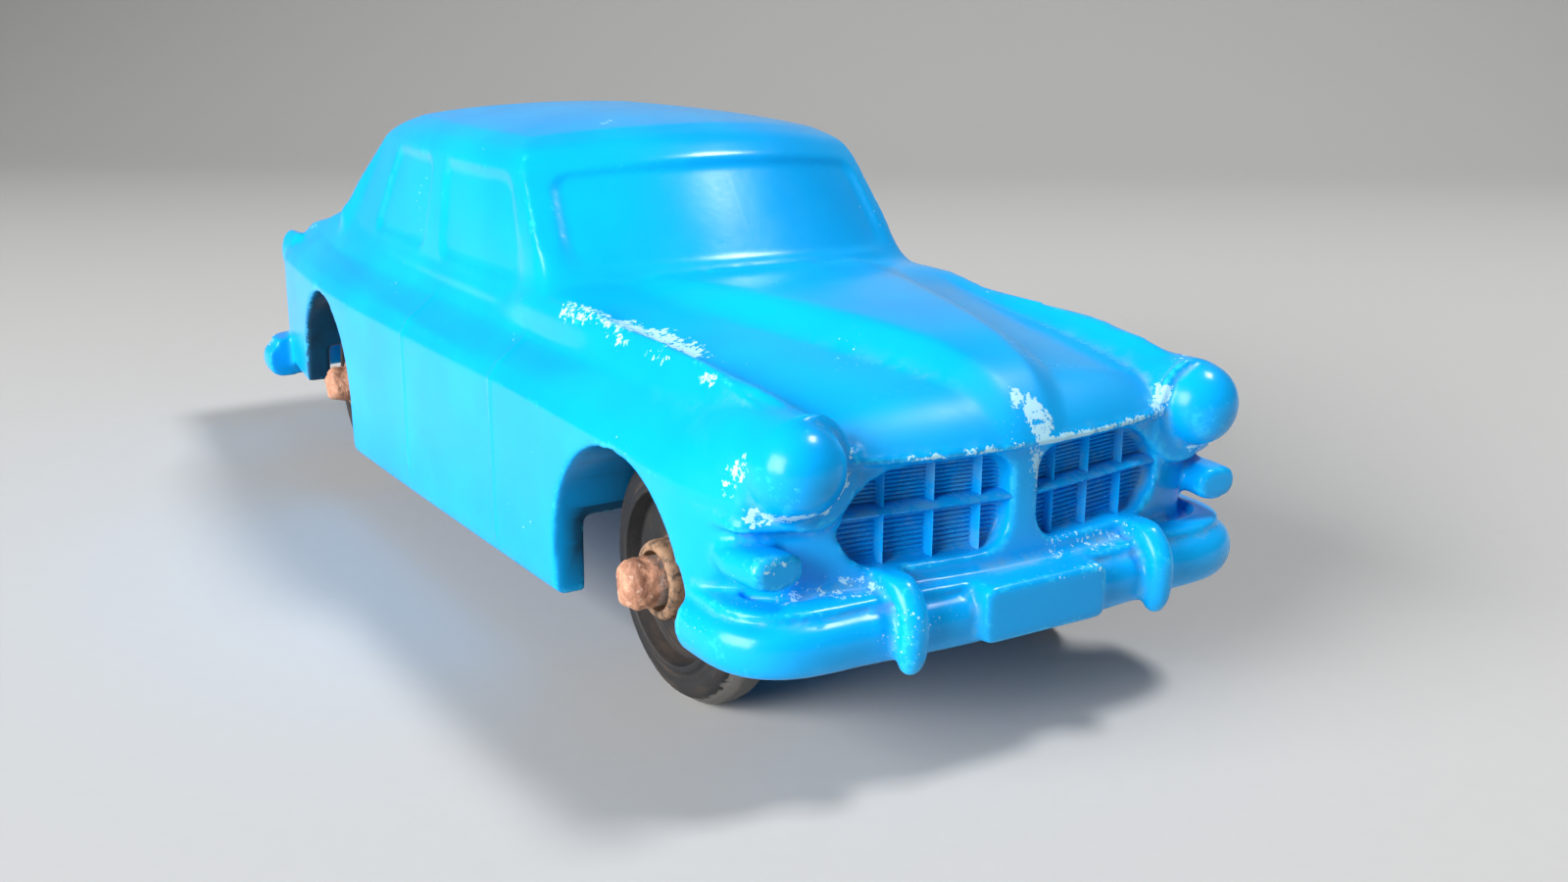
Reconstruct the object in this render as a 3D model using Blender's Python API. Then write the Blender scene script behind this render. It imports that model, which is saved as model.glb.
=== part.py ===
# Soft-vinyl toy saloon, about 1:43: one hollow moulding on two wire axles with four rubber wheels.
# Metres, +Z up. The car faces -Y. The origin lies on the floor, under the middle of the car.

import bpy
import bmesh
from math import acos, cos, pi, sin, sqrt
from mathutils import Matrix, Vector

# Overall sizes
LENGTH = 0.1034              # over the overriders, front to rear
FRONT_OVERHANG = 0.0180      # front axle to the front of the overriders
REAR_OVERHANG = 0.0249       # rear axle to the back of the overriders
BODY_WIDTH = 0.0376          # at the doors
ROOF_HEIGHT = 0.0342         # above the floor
FIT_GAP = 0.0003             # clearance between separate pieces

# Wheels and axles
WHEEL_DIAMETER = 0.0162
TYRE_WIDTH = 0.0038
TYRE_INSET = 0.0059          # middle of the tyre inside the door's face
TREAD_CROWN = 0.0004         # drop of the tread from its flat middle to its shoulders
SHOULDER_RADIUS = 0.0009
RIDGE_RADIUS = 0.0052        # raised ring on the wheel's outer face
RIDGE_WIDTH = 0.0008
RIDGE_HEIGHT = 0.0003
DISC_RECESS = 0.0008
HUB_RADIUS = 0.0025
HUB_REACH = 0.0011           # the hub stands this far outside the tyre
HUB_CHAMFER = 0.0004
COUNTERBORE_DEPTH = 0.0009
WHEEL_SEGMENTS = 28
AXLE_DIAMETER = 0.0020
HEAD_DIAMETER = 0.0031
HEAD_LENGTH = 0.0031
HEAD_ROUND = 0.0011
HEAD_EDGE = 0.0002
AXLE_SEGMENTS = 16

# Underside. Heights on the body are taken from a base line just above the floor, which also carries
# the axle height
AXLE_HEIGHT = 0.0077
SILL_HEIGHT = 0.0043         # at the front door
SILL_SLOPE = 0.022           # the sill falls towards the rear
SKIRT_WALL = 0.0023
PAN_HEIGHT = 0.0095
ARCH_RADIUS = 0.0086
WELL_CLEARANCE = 0.0006      # wheel well inside the tyre
LUG_WIDTH = 0.0032
LUG_STEP = 0.0001            # the lugs end this far inside the wheel well's wall
LUG_RADIUS = 0.0022
LUG_MOUTH = 0.0015           # slot that the axle snaps through
FRONT_SKIRT_HEIGHT = 0.0070
REAR_SKIRT_HEIGHT = 0.0062
MOULD_WALL = 0.0022
VENT_DIAMETER = 0.0030

# Front end
BUMPER_INSET = 0.0009        # bumper behind the overriders
BUMPER_DEPTH = 0.0023
BUMPER_BOW = 0.0006
FRONT_BUMPER_HEIGHT = 0.0069 # lower edge
FRONT_BUMPER_PROUD = 0.0004  # the bumper's ends outside the doors
CORNER_POWER = 0.56          # of the bumpers in plan; 1 would be an elliptical corner
PANEL_INSET = 0.0020         # body panels behind the overriders
NOSE_BOW = 0.0014
LIP_INSET = 0.0074           # end of the bonnet's lip inside the door's face
LIP_HEIGHT = 0.0178
LIP_OVERHANG = 0.0005
NOSE_ROUND = 0.0022
CORNER_INSET = 0.0015        # corner crease of the nose inside the door's face, at the headlamps
LOW_CORNER_INSET = 0.0008    # and at the bumper
CORNER_SETBACK = 0.0034      # the crease behind the nose, above and below the headlamp's shelf
LOW_CORNER_SETBACK = 0.0038
FACE_SETBACK = 0.0022        # the face between grille and crease, above and below that shelf
LOW_FACE_SETBACK = 0.0026
LAMP_INSET = 0.0045          # lamp centres inside the door's face
LAMP_HEIGHT = 0.0180
LAMP_RADIUS = 0.0029
LAMP_REACH = 0.0024          # glass dome in front of the rim
LAMP_RIM_SETBACK = 0.0018    # rim behind the nose
LAMP_RIM_STEP = 0.0002
LAMP_SHELL_LENGTH = 0.0045   # full width of the lamp's shell behind the rim
LAMP_SHELF = 0.0145          # the wing's lower edge under the headlamp
SIGNAL_INSET = 0.0027
SIGNAL_HEIGHT = 0.0130
SIGNAL_WIDTH = 0.0029
SIGNAL_DEPTH = 0.0019
SIGNAL_SETBACK = 0.0011      # face behind the nose
SIGNAL_LENGTH = 0.0045
SIGNAL_SPLAY = 0.0010        # the signal pod's root lies this far outside its face
GRILLE_INNER = 0.0016
GRILLE_OUTER_INSET = 0.0068
GRILLE_BOTTOM = 0.0118
GRILLE_CORNER = 0.0020
GRILLE_DEPTH = 0.0015
UPRIGHT_OFFSETS = (0.0031, 0.00615, 0.0091)
UPRIGHT_WIDTH = 0.00032
UPRIGHT_RELIEF = 0.0009
RAIL_HEIGHT = 0.0148
RAIL_WIDTH = 0.0008
RAIL_RELIEF = 0.0011
FIN_COUNT = 7                # above the rail, and as many below
FIN_WIDTH = 0.00018
FIN_RELIEF = 0.0004
PLATE_WIDTH = 0.0090
PLATE_BOTTOM = 0.0073
PLATE_TOP = 0.0107
PLATE_PROUD = 0.0006
OVERRIDER_OFFSET = 0.0091
OVERRIDER_WIDTH = 0.0017
OVERRIDER_THICKNESS = 0.0015

# Rear end
REAR_BUMPER_HEIGHT = 0.0050
REAR_BUMPER_PROUD = 0.0001
REAR_BUMPER_WRAP = 0.0055    # how far it turns forward round the tail
TAIL_BOW = 0.0006
TAIL_ROUND = 0.0010
TAIL_LAMP_INSET = 0.0042
TAIL_LAMP_HEIGHT = 0.0169
TAIL_LAMP_LENGTH = 0.0046
TAIL_LAMP_RADIUS = 0.0011
TAIL_LAMP_SETBACK = 0.0004
TAIL_LAMP_REACH = 0.0040

# Cabin and doors
COWL_SETBACK = 0.0132        # front axle to the foot of the windscreen
DECK_SETBACK = 0.0088        # rear axle to the foot of the rear window
WINDOW_RECESS = 0.00035
ROOF_PEAK_SETBACK = 0.0255   # highest point of the roof, behind the foot of the windscreen
SEAM_DEPTH = 0.00025
SEAM_WIDTH = 0.0005
SHOULDER_PAD = 0.0012        # fullness of the wing at the foot of the front pillar
FRONT_SEAM = 0.0052          # door seams, behind the foot of the windscreen
REAR_SEAM = 0.0233

# Stations and radii that follow from the sizes above
LIFT = WHEEL_DIAMETER / 2 - AXLE_HEIGHT    # base line above the floor
CROWN = ROOF_HEIGHT - LIFT
FRONT_END = -LENGTH / 2
REAR_END = LENGTH / 2
NOSE = FRONT_END + PANEL_INSET
TAIL = REAR_END - PANEL_INSET
FRONT_AXLE = FRONT_END + FRONT_OVERHANG
REAR_AXLE = REAR_END - REAR_OVERHANG
WHEELBASE = REAR_AXLE - FRONT_AXLE
COWL = FRONT_AXLE + COWL_SETBACK
DECK = REAR_AXLE + DECK_SETBACK
HALF_WIDTH = BODY_WIDTH / 2
TYRE_CENTRE = HALF_WIDTH - TYRE_INSET      # from here on, places across are from the centre line
LIP_HALF_WIDTH = HALF_WIDTH - LIP_INSET
CORNER_OFFSET = HALF_WIDTH - CORNER_INSET
LOW_CORNER_OFFSET = HALF_WIDTH - LOW_CORNER_INSET
LAMP_OFFSET = HALF_WIDTH - LAMP_INSET
SIGNAL_OFFSET = HALF_WIDTH - SIGNAL_INSET
TAIL_LAMP_OFFSET = HALF_WIDTH - TAIL_LAMP_INSET
GRILLE_OUTER = HALF_WIDTH - GRILLE_OUTER_INSET
FRONT_BUMPER_HALF_WIDTH = HALF_WIDTH + FRONT_BUMPER_PROUD
REAR_BUMPER_HALF_WIDTH = HALF_WIDTH + REAR_BUMPER_PROUD
WELL_INNER = TYRE_CENTRE - TYRE_WIDTH / 2 - WELL_CLEARANCE
BORE_RADIUS = AXLE_DIAMETER / 2 + FIT_GAP
SEAMS = (COWL + FRONT_SEAM, COWL + REAR_SEAM)
SILL_SLOPE_TOP = 0.0092      # the sides are level from here up
OVERLAP = 0.0003             # how far fused shapes run into each other
BELOW_FLOOR = -0.001         # where cuts from below begin


def smooth_step(value, start, end):
    t = min(max((value - start) / (end - start), 0.0), 1.0)
    return t * t * (3 - 2 * t)


def blend(a, b, t):
    return a + (b - a) * t


class Profile:
    # A smooth line through its (station, value) points, which never overshoots them

    def __init__(self, *points):
        self.x = [p[0] for p in points]
        self.y = [p[1] for p in points]
        slopes = [(self.y[i + 1] - self.y[i]) / (self.x[i + 1] - self.x[i]) for i in range(len(points) - 1)]
        self.m = [slopes[0]]
        for before, after in zip(slopes, slopes[1:]):
            self.m.append(2 * before * after / (before + after) if before * after > 0 else 0.0)
        self.m.append(slopes[-1])

    def __call__(self, x):
        x = min(max(x, self.x[0]), self.x[-1])
        i = 0
        while i < len(self.x) - 2 and x > self.x[i + 1]:
            i += 1
        span = self.x[i + 1] - self.x[i]
        t = (x - self.x[i]) / span
        near = 2 * t ** 3 - 3 * t ** 2 + 1
        leave = (t ** 3 - 2 * t ** 2 + t) * span * self.m[i]
        arrive = (t ** 3 - t ** 2) * span * self.m[i + 1]
        return near * self.y[i] + (1 - near) * self.y[i + 1] + leave + arrive


# Lines of the body along the car: widest half width, middle of the bonnet and boot lid, the bonnet's
# bulge, the valley between bonnet and wing, and the wing's crest
side_line = Profile((NOSE + 0.0030, HALF_WIDTH - 0.0016), (NOSE + 0.0095, HALF_WIDTH - 0.0002),
                    (FRONT_AXLE, HALF_WIDTH - 0.0001), (FRONT_AXLE + WHEELBASE / 2, HALF_WIDTH),
                    (REAR_AXLE - 0.012, HALF_WIDTH - 0.0001), (REAR_AXLE, HALF_WIDTH - 0.0005),
                    (DECK, HALF_WIDTH - 0.0013), (TAIL - 0.0070, HALF_WIDTH - 0.0021),
                    (TAIL, HALF_WIDTH - 0.0031))
centre_line = Profile((NOSE, 0.0204), (FRONT_AXLE - 0.008, 0.0217), (FRONT_AXLE, 0.0225), (COWL, 0.0234),
                      (DECK, 0.0234), (DECK + 0.007, 0.0222), (TAIL, 0.0197))
bulge_line = Profile((NOSE, 0.0004), (FRONT_AXLE - 0.008, 0.0012), (FRONT_AXLE + 0.004, 0.0010),
                     (COWL, 0.0004), (COWL + 0.01, 0.0))
bulge_crest = Profile((NOSE, 0.0007), (FRONT_AXLE - 0.008, 0.0024), (COWL, 0.0075))
bulge_foot = Profile((NOSE, 0.0030), (FRONT_AXLE - 0.008, 0.0060), (COWL, 0.0110))
valley_line = Profile((NOSE, 0.0191), (FRONT_AXLE - 0.008, 0.0203), (COWL - 0.006, 0.0219), (COWL, 0.0230),
                      (DECK - 0.002, 0.0230), (DECK + 0.004, 0.0213), (DECK + 0.007, 0.0207), (TAIL, 0.0188))
valley_offset = Profile((NOSE, LIP_HALF_WIDTH), (FRONT_AXLE, HALF_WIDTH - 0.0059), (COWL, HALF_WIDTH - 0.0055),
                        (DECK, HALF_WIDTH - 0.0058), (TAIL, HALF_WIDTH - 0.0066))
wing_line = Profile((NOSE, 0.0212), (FRONT_AXLE - 0.010, 0.0216), (FRONT_AXLE, 0.0220), (COWL - 0.007, 0.0221),
                    (COWL, 0.0228), (COWL + 0.004, 0.0227), (COWL + 0.012, 0.0211), (REAR_AXLE - 0.018, 0.0208),
                    (REAR_AXLE, 0.0214), (DECK - 0.001, 0.0222), (DECK + 0.003, 0.0218), (TAIL, 0.0207))
wing_offset = Profile((NOSE, HALF_WIDTH - 0.0044), (COWL, HALF_WIDTH - 0.0041), (REAR_AXLE, HALF_WIDTH - 0.0039),
                      (TAIL, HALF_WIDTH - 0.0041))

# How far the side draws in from its widest line, by height: rounded sill, flat doors, the crease
# above them and the hollow under the wing's crest
side_inset = Profile((SILL_HEIGHT, 0.0007), (SILL_HEIGHT + 0.0004, 0.0002), (SILL_HEIGHT + 0.0012, 0.0001),
                     (0.0100, 0.0), (0.0168, 0.0), (0.0171, 0.0002), (0.0178, 0.0006), (0.0184, 0.0013),
                     (0.0190, 0.0021), (0.0196, 0.0028), (0.0204, 0.0032), (0.0212, 0.0036),
                     (0.0218, 0.0039), (0.0223, 0.0043), (0.0228, 0.0049), (0.0232, 0.0056))
SIDE_LEVELS = (SILL_HEIGHT, SILL_HEIGHT + 0.0004, SILL_HEIGHT + 0.0012, 0.0092, 0.0120, LAMP_SHELF,
               LAMP_SHELF + 0.0001, 0.0168, 0.0171, LIP_HEIGHT, LIP_HEIGHT + 0.0001, 0.0184, 0.0190, 0.0196,
               0.0204, 0.0212, 0.0218, 0.0223, 0.0228, 0.0232, 0.0260)


def make_mesh(name, vertices, faces):
    mesh = bpy.data.meshes.new(name)
    mesh.from_pydata([tuple(v) for v in vertices], [], faces)
    bm = bmesh.new()
    bm.from_mesh(mesh)
    bmesh.ops.remove_doubles(bm, verts=bm.verts, dist=1e-7)
    bmesh.ops.triangulate(bm, faces=bm.faces)
    bmesh.ops.recalc_face_normals(bm, faces=bm.faces)
    bm.to_mesh(mesh)
    bm.free()
    obj = bpy.data.objects.new(name, mesh)
    bpy.context.collection.objects.link(obj)
    return obj


def loft(name, rings, closed=False):
    # Rings of equal length become one skin, with flat ends or closed on itself
    count, total = len(rings[0]), len(rings)
    vertices = [v for ring in rings for v in ring]
    faces = [] if closed else [list(range(count)), list(range((total - 1) * count, total * count))]
    for r in range(total if closed else total - 1):
        s = (r + 1) % total
        for i in range(count):
            j = (i + 1) % count
            faces.append([r * count + i, r * count + j, s * count + j, s * count + i])
    return make_mesh(name, vertices, faces)


def box(name, x, y, z):
    ring = [(x[0], y[0]), (x[1], y[0]), (x[1], y[1]), (x[0], y[1])]
    return loft(name, [[(px, py, pz) for px, py in ring] for pz in z])


def join(name, objects):
    bm = bmesh.new()
    for obj in objects:
        bm.from_mesh(obj.data)
        bpy.data.objects.remove(obj)
    mesh = bpy.data.meshes.new(name)
    bm.to_mesh(mesh)
    bm.free()
    obj = bpy.data.objects.new(name, mesh)
    bpy.context.collection.objects.link(obj)
    return obj


def pair(obj):
    # The piece and its mirror image on the other side of the car
    vertices = [(-v.co.x, v.co.y, v.co.z) for v in obj.data.vertices]
    other = make_mesh(obj.name, vertices, [list(p.vertices) for p in obj.data.polygons])
    return join(obj.name, [obj, other])


def combine(target, tool, operation):
    modifier = target.modifiers.new(operation.lower(), "BOOLEAN")
    modifier.operation = operation
    modifier.solver = "EXACT"
    modifier.object = tool
    graph = bpy.context.evaluated_depsgraph_get()
    mesh = bpy.data.meshes.new_from_object(target.evaluated_get(graph))
    target.modifiers.remove(modifier)
    target.data = mesh
    bpy.data.objects.remove(tool)


def tidy(obj):
    # Join the flat areas that the cuts left in pieces, and drop slivers
    bm = bmesh.new()
    bm.from_mesh(obj.data)
    bmesh.ops.dissolve_limit(bm, angle_limit=0.004, verts=bm.verts, edges=bm.edges)
    bmesh.ops.dissolve_degenerate(bm, dist=2e-6, edges=bm.edges)
    bmesh.ops.triangulate(bm, faces=bm.faces)
    bm.to_mesh(obj.data)
    bm.free()


def nose_plan(x):
    # Plan line of the bonnet's lip, which bows forward at the middle
    return NOSE + NOSE_BOW * (x / LIP_HALF_WIDTH) ** 2


def tail_plan(x):
    return TAIL - TAIL_BOW * (x / LIP_HALF_WIDTH) ** 2


# Plan outline of the lower body, from the middle of the nose to the middle of the tail
NOSE_COLUMNS = 5
SIDE_STATIONS = sorted([y + step * SEAM_WIDTH / 2 for y in SEAMS for step in (-1, 0, 1)] +
                       [FRONT_AXLE - 0.004, FRONT_AXLE, FRONT_AXLE + 0.005, COWL - 0.0045, COWL, COWL + 0.009,
                        COWL + 0.014, REAR_AXLE - 0.017, REAR_AXLE - 0.009, REAR_AXLE - 0.004, REAR_AXLE,
                        REAR_AXLE + 0.005, DECK, DECK + 0.005, DECK + 0.009])


def pillar_shoulder(y, z):
    # The wing widens towards the foot of the front pillar
    along = smooth_step(y, COWL - 0.009, COWL + 0.001) * smooth_step(y, COWL + 0.014, COWL + 0.005)
    return SHOULDER_PAD * along * smooth_step(z, 0.0196, 0.0223)


def plan_outline(z, inset):
    # One closed outline at height z, drawn in by inset
    draw_in = side_inset(z) + inset
    below_lip = smooth_step(z, LIP_HEIGHT + 0.0001, LIP_HEIGHT)
    below_lamp = smooth_step(z, LAMP_SHELF + 0.0001, LAMP_SHELF)
    low = smooth_step(z, LAMP_SHELF, 0.0092)
    crease_x = blend(CORNER_OFFSET, LOW_CORNER_OFFSET, low) - draw_in
    crease_y = blend(NOSE + blend(CORNER_SETBACK, LOW_CORNER_SETBACK, below_lamp),
                     FRONT_AXLE - ARCH_RADIUS - 0.0004, low)
    lip_x = min(LIP_HALF_WIDTH - inset, crease_x - 0.0020)
    half = []
    for i in range(NOSE_COLUMNS):
        x = lip_x * i / (NOSE_COLUMNS - 1)
        half.append((x, nose_plan(x) + LIP_OVERHANG * below_lip + inset))
    half.append(((lip_x + crease_x) / 2, NOSE + blend(FACE_SETBACK, LOW_FACE_SETBACK, below_lamp) + inset))
    half.append((crease_x, crease_y + inset))
    start = crease_y + inset + blend(0.0025, 0.0010, low)
    end = TAIL - 0.0035 - inset
    for y in [start] + [station for station in SIDE_STATIONS if station < end - 0.0005] + [end]:
        groove = SEAM_DEPTH if y in SEAMS and not inset else 0.0
        half.append((side_line(y) - draw_in - groove + pillar_shoulder(y, z), y))
    corner_x = side_line(TAIL) - draw_in
    half.append((corner_x - 0.0003, TAIL - 0.0015 - inset))
    half.append((corner_x - 0.0016, TAIL - 0.0008 - inset))
    for i in range(NOSE_COLUMNS - 1, -1, -1):
        x = min(LIP_HALF_WIDTH, corner_x - 0.0024) * i / (NOSE_COLUMNS - 1)
        half.append((x, tail_plan(x) - inset))
    return half + [(-x, y) for x, y in half[-2:0:-1]]


def plan_solid(name, levels, inset=0.0):
    rings = []
    for z in levels:
        fall = SILL_SLOPE * smooth_step(z, SILL_SLOPE_TOP, SILL_HEIGHT + 0.0012)
        rings.append([(x, y, z - fall * (y - COWL)) for x, y in plan_outline(z, inset)])
    return loft(name, rings)


def top_height(x, y):
    # Height of the bonnet, wings and boot lid
    a = abs(x)
    valley_x = valley_offset(y)
    centre = centre_line(y)
    valley = valley_line(y)
    if a < valley_x:
        z = centre - (centre - valley) * (a / valley_x) ** 2.4
        z += bulge_line(y) * (1 - smooth_step(a, bulge_crest(y), bulge_foot(y)))
    else:
        z = blend(valley, wing_line(y), smooth_step(a, valley_x, wing_offset(y)))
    for distance, radius in ((y - nose_plan(x), NOSE_ROUND), (tail_plan(x) - y, TAIL_ROUND)):
        drop = min(max(radius - distance, 0.0), radius)
        z -= radius - sqrt(radius ** 2 - drop ** 2)
    return z


def row_y(row, x):
    # Rows near the nose and the tail follow the bow of the body's plan; the end caps stay flat
    if not TOP_ROWS[0] < row < TOP_ROWS[-1]:
        return row
    front = NOSE_BOW * smooth_step(row, NOSE + 0.012, NOSE + 0.004)
    rear = TAIL_BOW * smooth_step(row, TAIL - 0.012, TAIL - 0.004)
    return row + (x / LIP_HALF_WIDTH) ** 2 * (front - rear)


TOP_ROWS = (NOSE - 0.001, NOSE - 0.0005, NOSE, NOSE + 0.0003, NOSE + 0.0009, NOSE + 0.0018, NOSE + 0.0040,
            NOSE + 0.0060, FRONT_AXLE - 0.0075, FRONT_AXLE - 0.0050, FRONT_AXLE - 0.0025, FRONT_AXLE,
            FRONT_AXLE + 0.0035, FRONT_AXLE + 0.0070, COWL - 0.0025, COWL, COWL + 0.0040, COWL + 0.0080,
            COWL + 0.0150, COWL + 0.0250, REAR_AXLE - 0.0080, REAR_AXLE, REAR_AXLE + 0.0040, DECK - 0.0020,
            DECK + 0.0010, DECK + 0.0040, DECK + 0.0070, DECK + 0.0100, TAIL - 0.0020, TAIL - 0.0010,
            TAIL - 0.0005, TAIL - 0.0001, TAIL, TAIL + 0.0005, TAIL + 0.001)


def top_solid(name, rows, lower=0.0):
    # A solid from the floor up to the bonnet and boot lid, wider than the car; each row closes
    # through the floor, so the rows are the rings of one loft
    rings = []
    for y in rows:
        columns = [share * valley_offset(y) for share in (0.0, 0.1, 0.2, 0.32, 0.45, 0.6, 0.8)]
        columns += [blend(valley_offset(y), wing_offset(y), t) for t in (0.0, 0.33, 0.67, 1.0)]
        columns += [wing_offset(y) + 0.0015, HALF_WIDTH + 0.001]
        columns = [-x for x in columns[:0:-1]] + columns
        above = [(x, row_y(y, x), top_height(x, row_y(y, x)) - lower) for x in columns]
        rings.append(above + [(x, along, BELOW_FLOOR) for x, along, z in (above[-1], above[0])])
    return loft(name, rings)


# Cabin rings, low to high: height at the windscreen's middle and corner, at the side windows and at
# the rear window; reach behind the cowl at the windscreen's middle and pillar; inset from the door's
# face at the front pillar, the middle and the rear pillar; reach at the rear pillar and the rear
# window's middle
CABIN_BASE = (0.0180, 0.0180, 0.0180, 0.0180, -0.0030, -0.0005, 0.0044, 0.0042, 0.0052, -0.0020, 0.0020)
CABIN_WAIST = (0.0229, 0.0224, 0.0210, 0.0228, -0.0011, 0.0029, 0.0034, 0.0034, 0.0045, -0.0027, 0.0010)
CABIN_SILL = (0.0237, 0.0233, 0.0219, 0.0238, 0.0, 0.0042, 0.0037, 0.0037, 0.0048, -0.0042, 0.0)
CABIN_HEAD = (0.0313, 0.0302, 0.0304, 0.0304, 0.0059, 0.0096, 0.0048, 0.0047, 0.0066, -0.0118, -0.0075)
CABIN_EAVES = (0.0324, 0.0314, 0.0315, 0.0313, 0.0074, 0.0107, 0.0054, 0.0053, 0.0072, -0.0136, -0.0096)
CABIN_BROW = (0.0332, 0.0323, 0.0324, 0.0321, 0.0097, 0.0127, 0.0066, 0.0065, 0.0084, -0.0162, -0.0124)
ROOF_CENTRE = COWL + ROOF_PEAK_SETBACK
ROOF_RINGS = (0.78, 0.5, 0.25)

# Columns of the cabin, measured 0 to 1 along the windscreen, to 2 along the side windows and to 3
# along the rear window, with the glass between each pair of edges
GLASS = ((-1.0, 0.9), (1.06, 1.42), (1.5, 1.8), (2.12, 4.0))
CABIN_COLUMNS = (0.0, 0.35, 0.68, 0.9, 0.925, 0.97, 1.0, 1.035, 1.06, 1.22, 1.42, 1.442, 1.478, 1.5, 1.64, 1.8,
                 1.822, 1.91, 2.0, 2.095, 2.12, 2.4, 2.7, 3.0)
CAVITY_COLUMNS = (0.0, 0.6, 1.0, 1.25, 1.5, 1.75, 2.0, 2.5, 3.0)


def cabin_point(ring, u, inset):
    front_z, corner_z, side_z, rear_z, front_y, pillar_y, *insets, back_pillar_y, back_y = ring
    pillar_x, middle_x, rear_x = (HALF_WIDTH - side for side in insets)
    front_y, pillar_y = COWL + front_y + inset, COWL + pillar_y + inset
    back_pillar_y, back_y = DECK + back_pillar_y - inset, DECK + back_y - inset
    if u <= 1:
        return (pillar_x - inset) * u, blend(front_y, pillar_y, u ** 2.2), blend(front_z, corner_z, u * u)
    if u <= 2:
        t = u - 1
        x = blend(pillar_x, rear_x, t) + 4 * t * (1 - t) * (middle_x - (pillar_x + rear_x) / 2)
        z = blend(blend(corner_z, rear_z, t), side_z, smooth_step(min(t, 1 - t), 0, 0.05))
        return x - inset, blend(pillar_y, back_pillar_y, t), z
    t = 3 - u
    return (rear_x - inset) * t, blend(back_y, back_pillar_y, t ** 2.2), rear_z


def glass_recess(u):
    inside = any(start <= u <= end for start, end in GLASS)
    return WINDOW_RECESS if inside else 0.0


def cabin_solid(name, columns, inset=0.0):
    walls = []
    for ring in (CABIN_BASE, CABIN_WAIST, CABIN_SILL):
        walls.append([cabin_point(ring, u, inset) for u in columns])
    for height in (0.06, 0.94):
        ring = [blend(low, high, height) for low, high in zip(CABIN_SILL, CABIN_HEAD)]
        walls.append([cabin_point(ring, u, inset + glass_recess(u)) for u in columns])
    for ring in (CABIN_HEAD, CABIN_EAVES, CABIN_BROW):
        walls.append([(x, y, z - inset) for x, y, z in (cabin_point(ring, u, inset) for u in columns)])
    brow = walls[-1]
    crown = CROWN - inset
    for share in ROOF_RINGS:
        walls.append([(x * share, blend(ROOF_CENTRE, y, share), crown - (crown - z) * share ** 2.2)
                      for x, y, z in brow])
    rings = [ring + [(-x, y, z) for x, y, z in ring[-2:0:-1]] for ring in walls]
    rings.append([(0.0, ROOF_CENTRE, crown)] * len(rings[0]))
    return loft(name, rings)


def turned_bar(name, centre, half_width, half_height, stations, segments, splay=0.0):
    # A bar along Y, given as the y of each ring and its share of the full section; splay moves its
    # root outward
    first, last = stations[0][0], stations[-1][0]
    rings = []
    for y, share in stations:
        middle = centre[0] + splay * (y - last) / (first - last)
        ring = []
        for i in range(segments):
            angle = 2 * pi * (i + 0.5) / segments
            ring.append((middle + half_width * share * cos(angle), y, centre[1] + half_height * share * sin(angle)))
        rings.append(ring)
    return loft(name, rings)


def headlamps():
    rim = NOSE + LAMP_RIM_SETBACK
    glass = rim - LAMP_RIM_STEP
    stations = [(FRONT_AXLE - 0.004, 0.7), (rim + LAMP_SHELL_LENGTH, 0.98), (rim, 1.0), (glass, 0.88)]
    stations += [(glass - LAMP_REACH * sin(angle), 0.86 * cos(angle)) for angle in (0.35, 0.75, 1.15, 1.42)]
    return pair(turned_bar("headlamp", (LAMP_OFFSET, LAMP_HEIGHT), LAMP_RADIUS, LAMP_RADIUS, stations, 20))


def signals():
    face = NOSE + SIGNAL_SETBACK
    stations = [(face + SIGNAL_LENGTH * back, share)
                for back, share in ((1.0, 0.45), (0.49, 0.9), (0.22, 1.0), (0.05, 0.96), (0.0, 0.8))]
    return pair(turned_bar("signal", (SIGNAL_OFFSET, SIGNAL_HEIGHT), SIGNAL_WIDTH / 2, SIGNAL_DEPTH / 2,
                           stations, 10, SIGNAL_SPLAY))


def tail_lamps():
    face = TAIL - TAIL_LAMP_SETBACK
    stations = [(face - TAIL_LAMP_REACH * back, share)
                for back, share in ((1.0, 1.0), (0.2, 1.0), (0.05, 0.8), (0.0, 0.45))]
    return pair(turned_bar("tail_lamp", (TAIL_LAMP_OFFSET, TAIL_LAMP_HEIGHT), TAIL_LAMP_RADIUS,
                           TAIL_LAMP_LENGTH / 2, stations, 12))


# Bumper section: reach as a share of the bumper's depth, and height above its lower edge
BUMPER_SECTION = ((-0.1, 0.0), (0.50, 0.0), (0.80, 0.0003), (0.97, 0.0010), (1.0, 0.0019), (0.88, 0.0027),
                  (0.56, 0.0031), (0.60, 0.0035), (0.52, 0.0038), (-0.1, 0.0039))
BUMPER_SHELF = 0.0034        # top of the shelf that joins the bumper to the panels, above its lower edge


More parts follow.
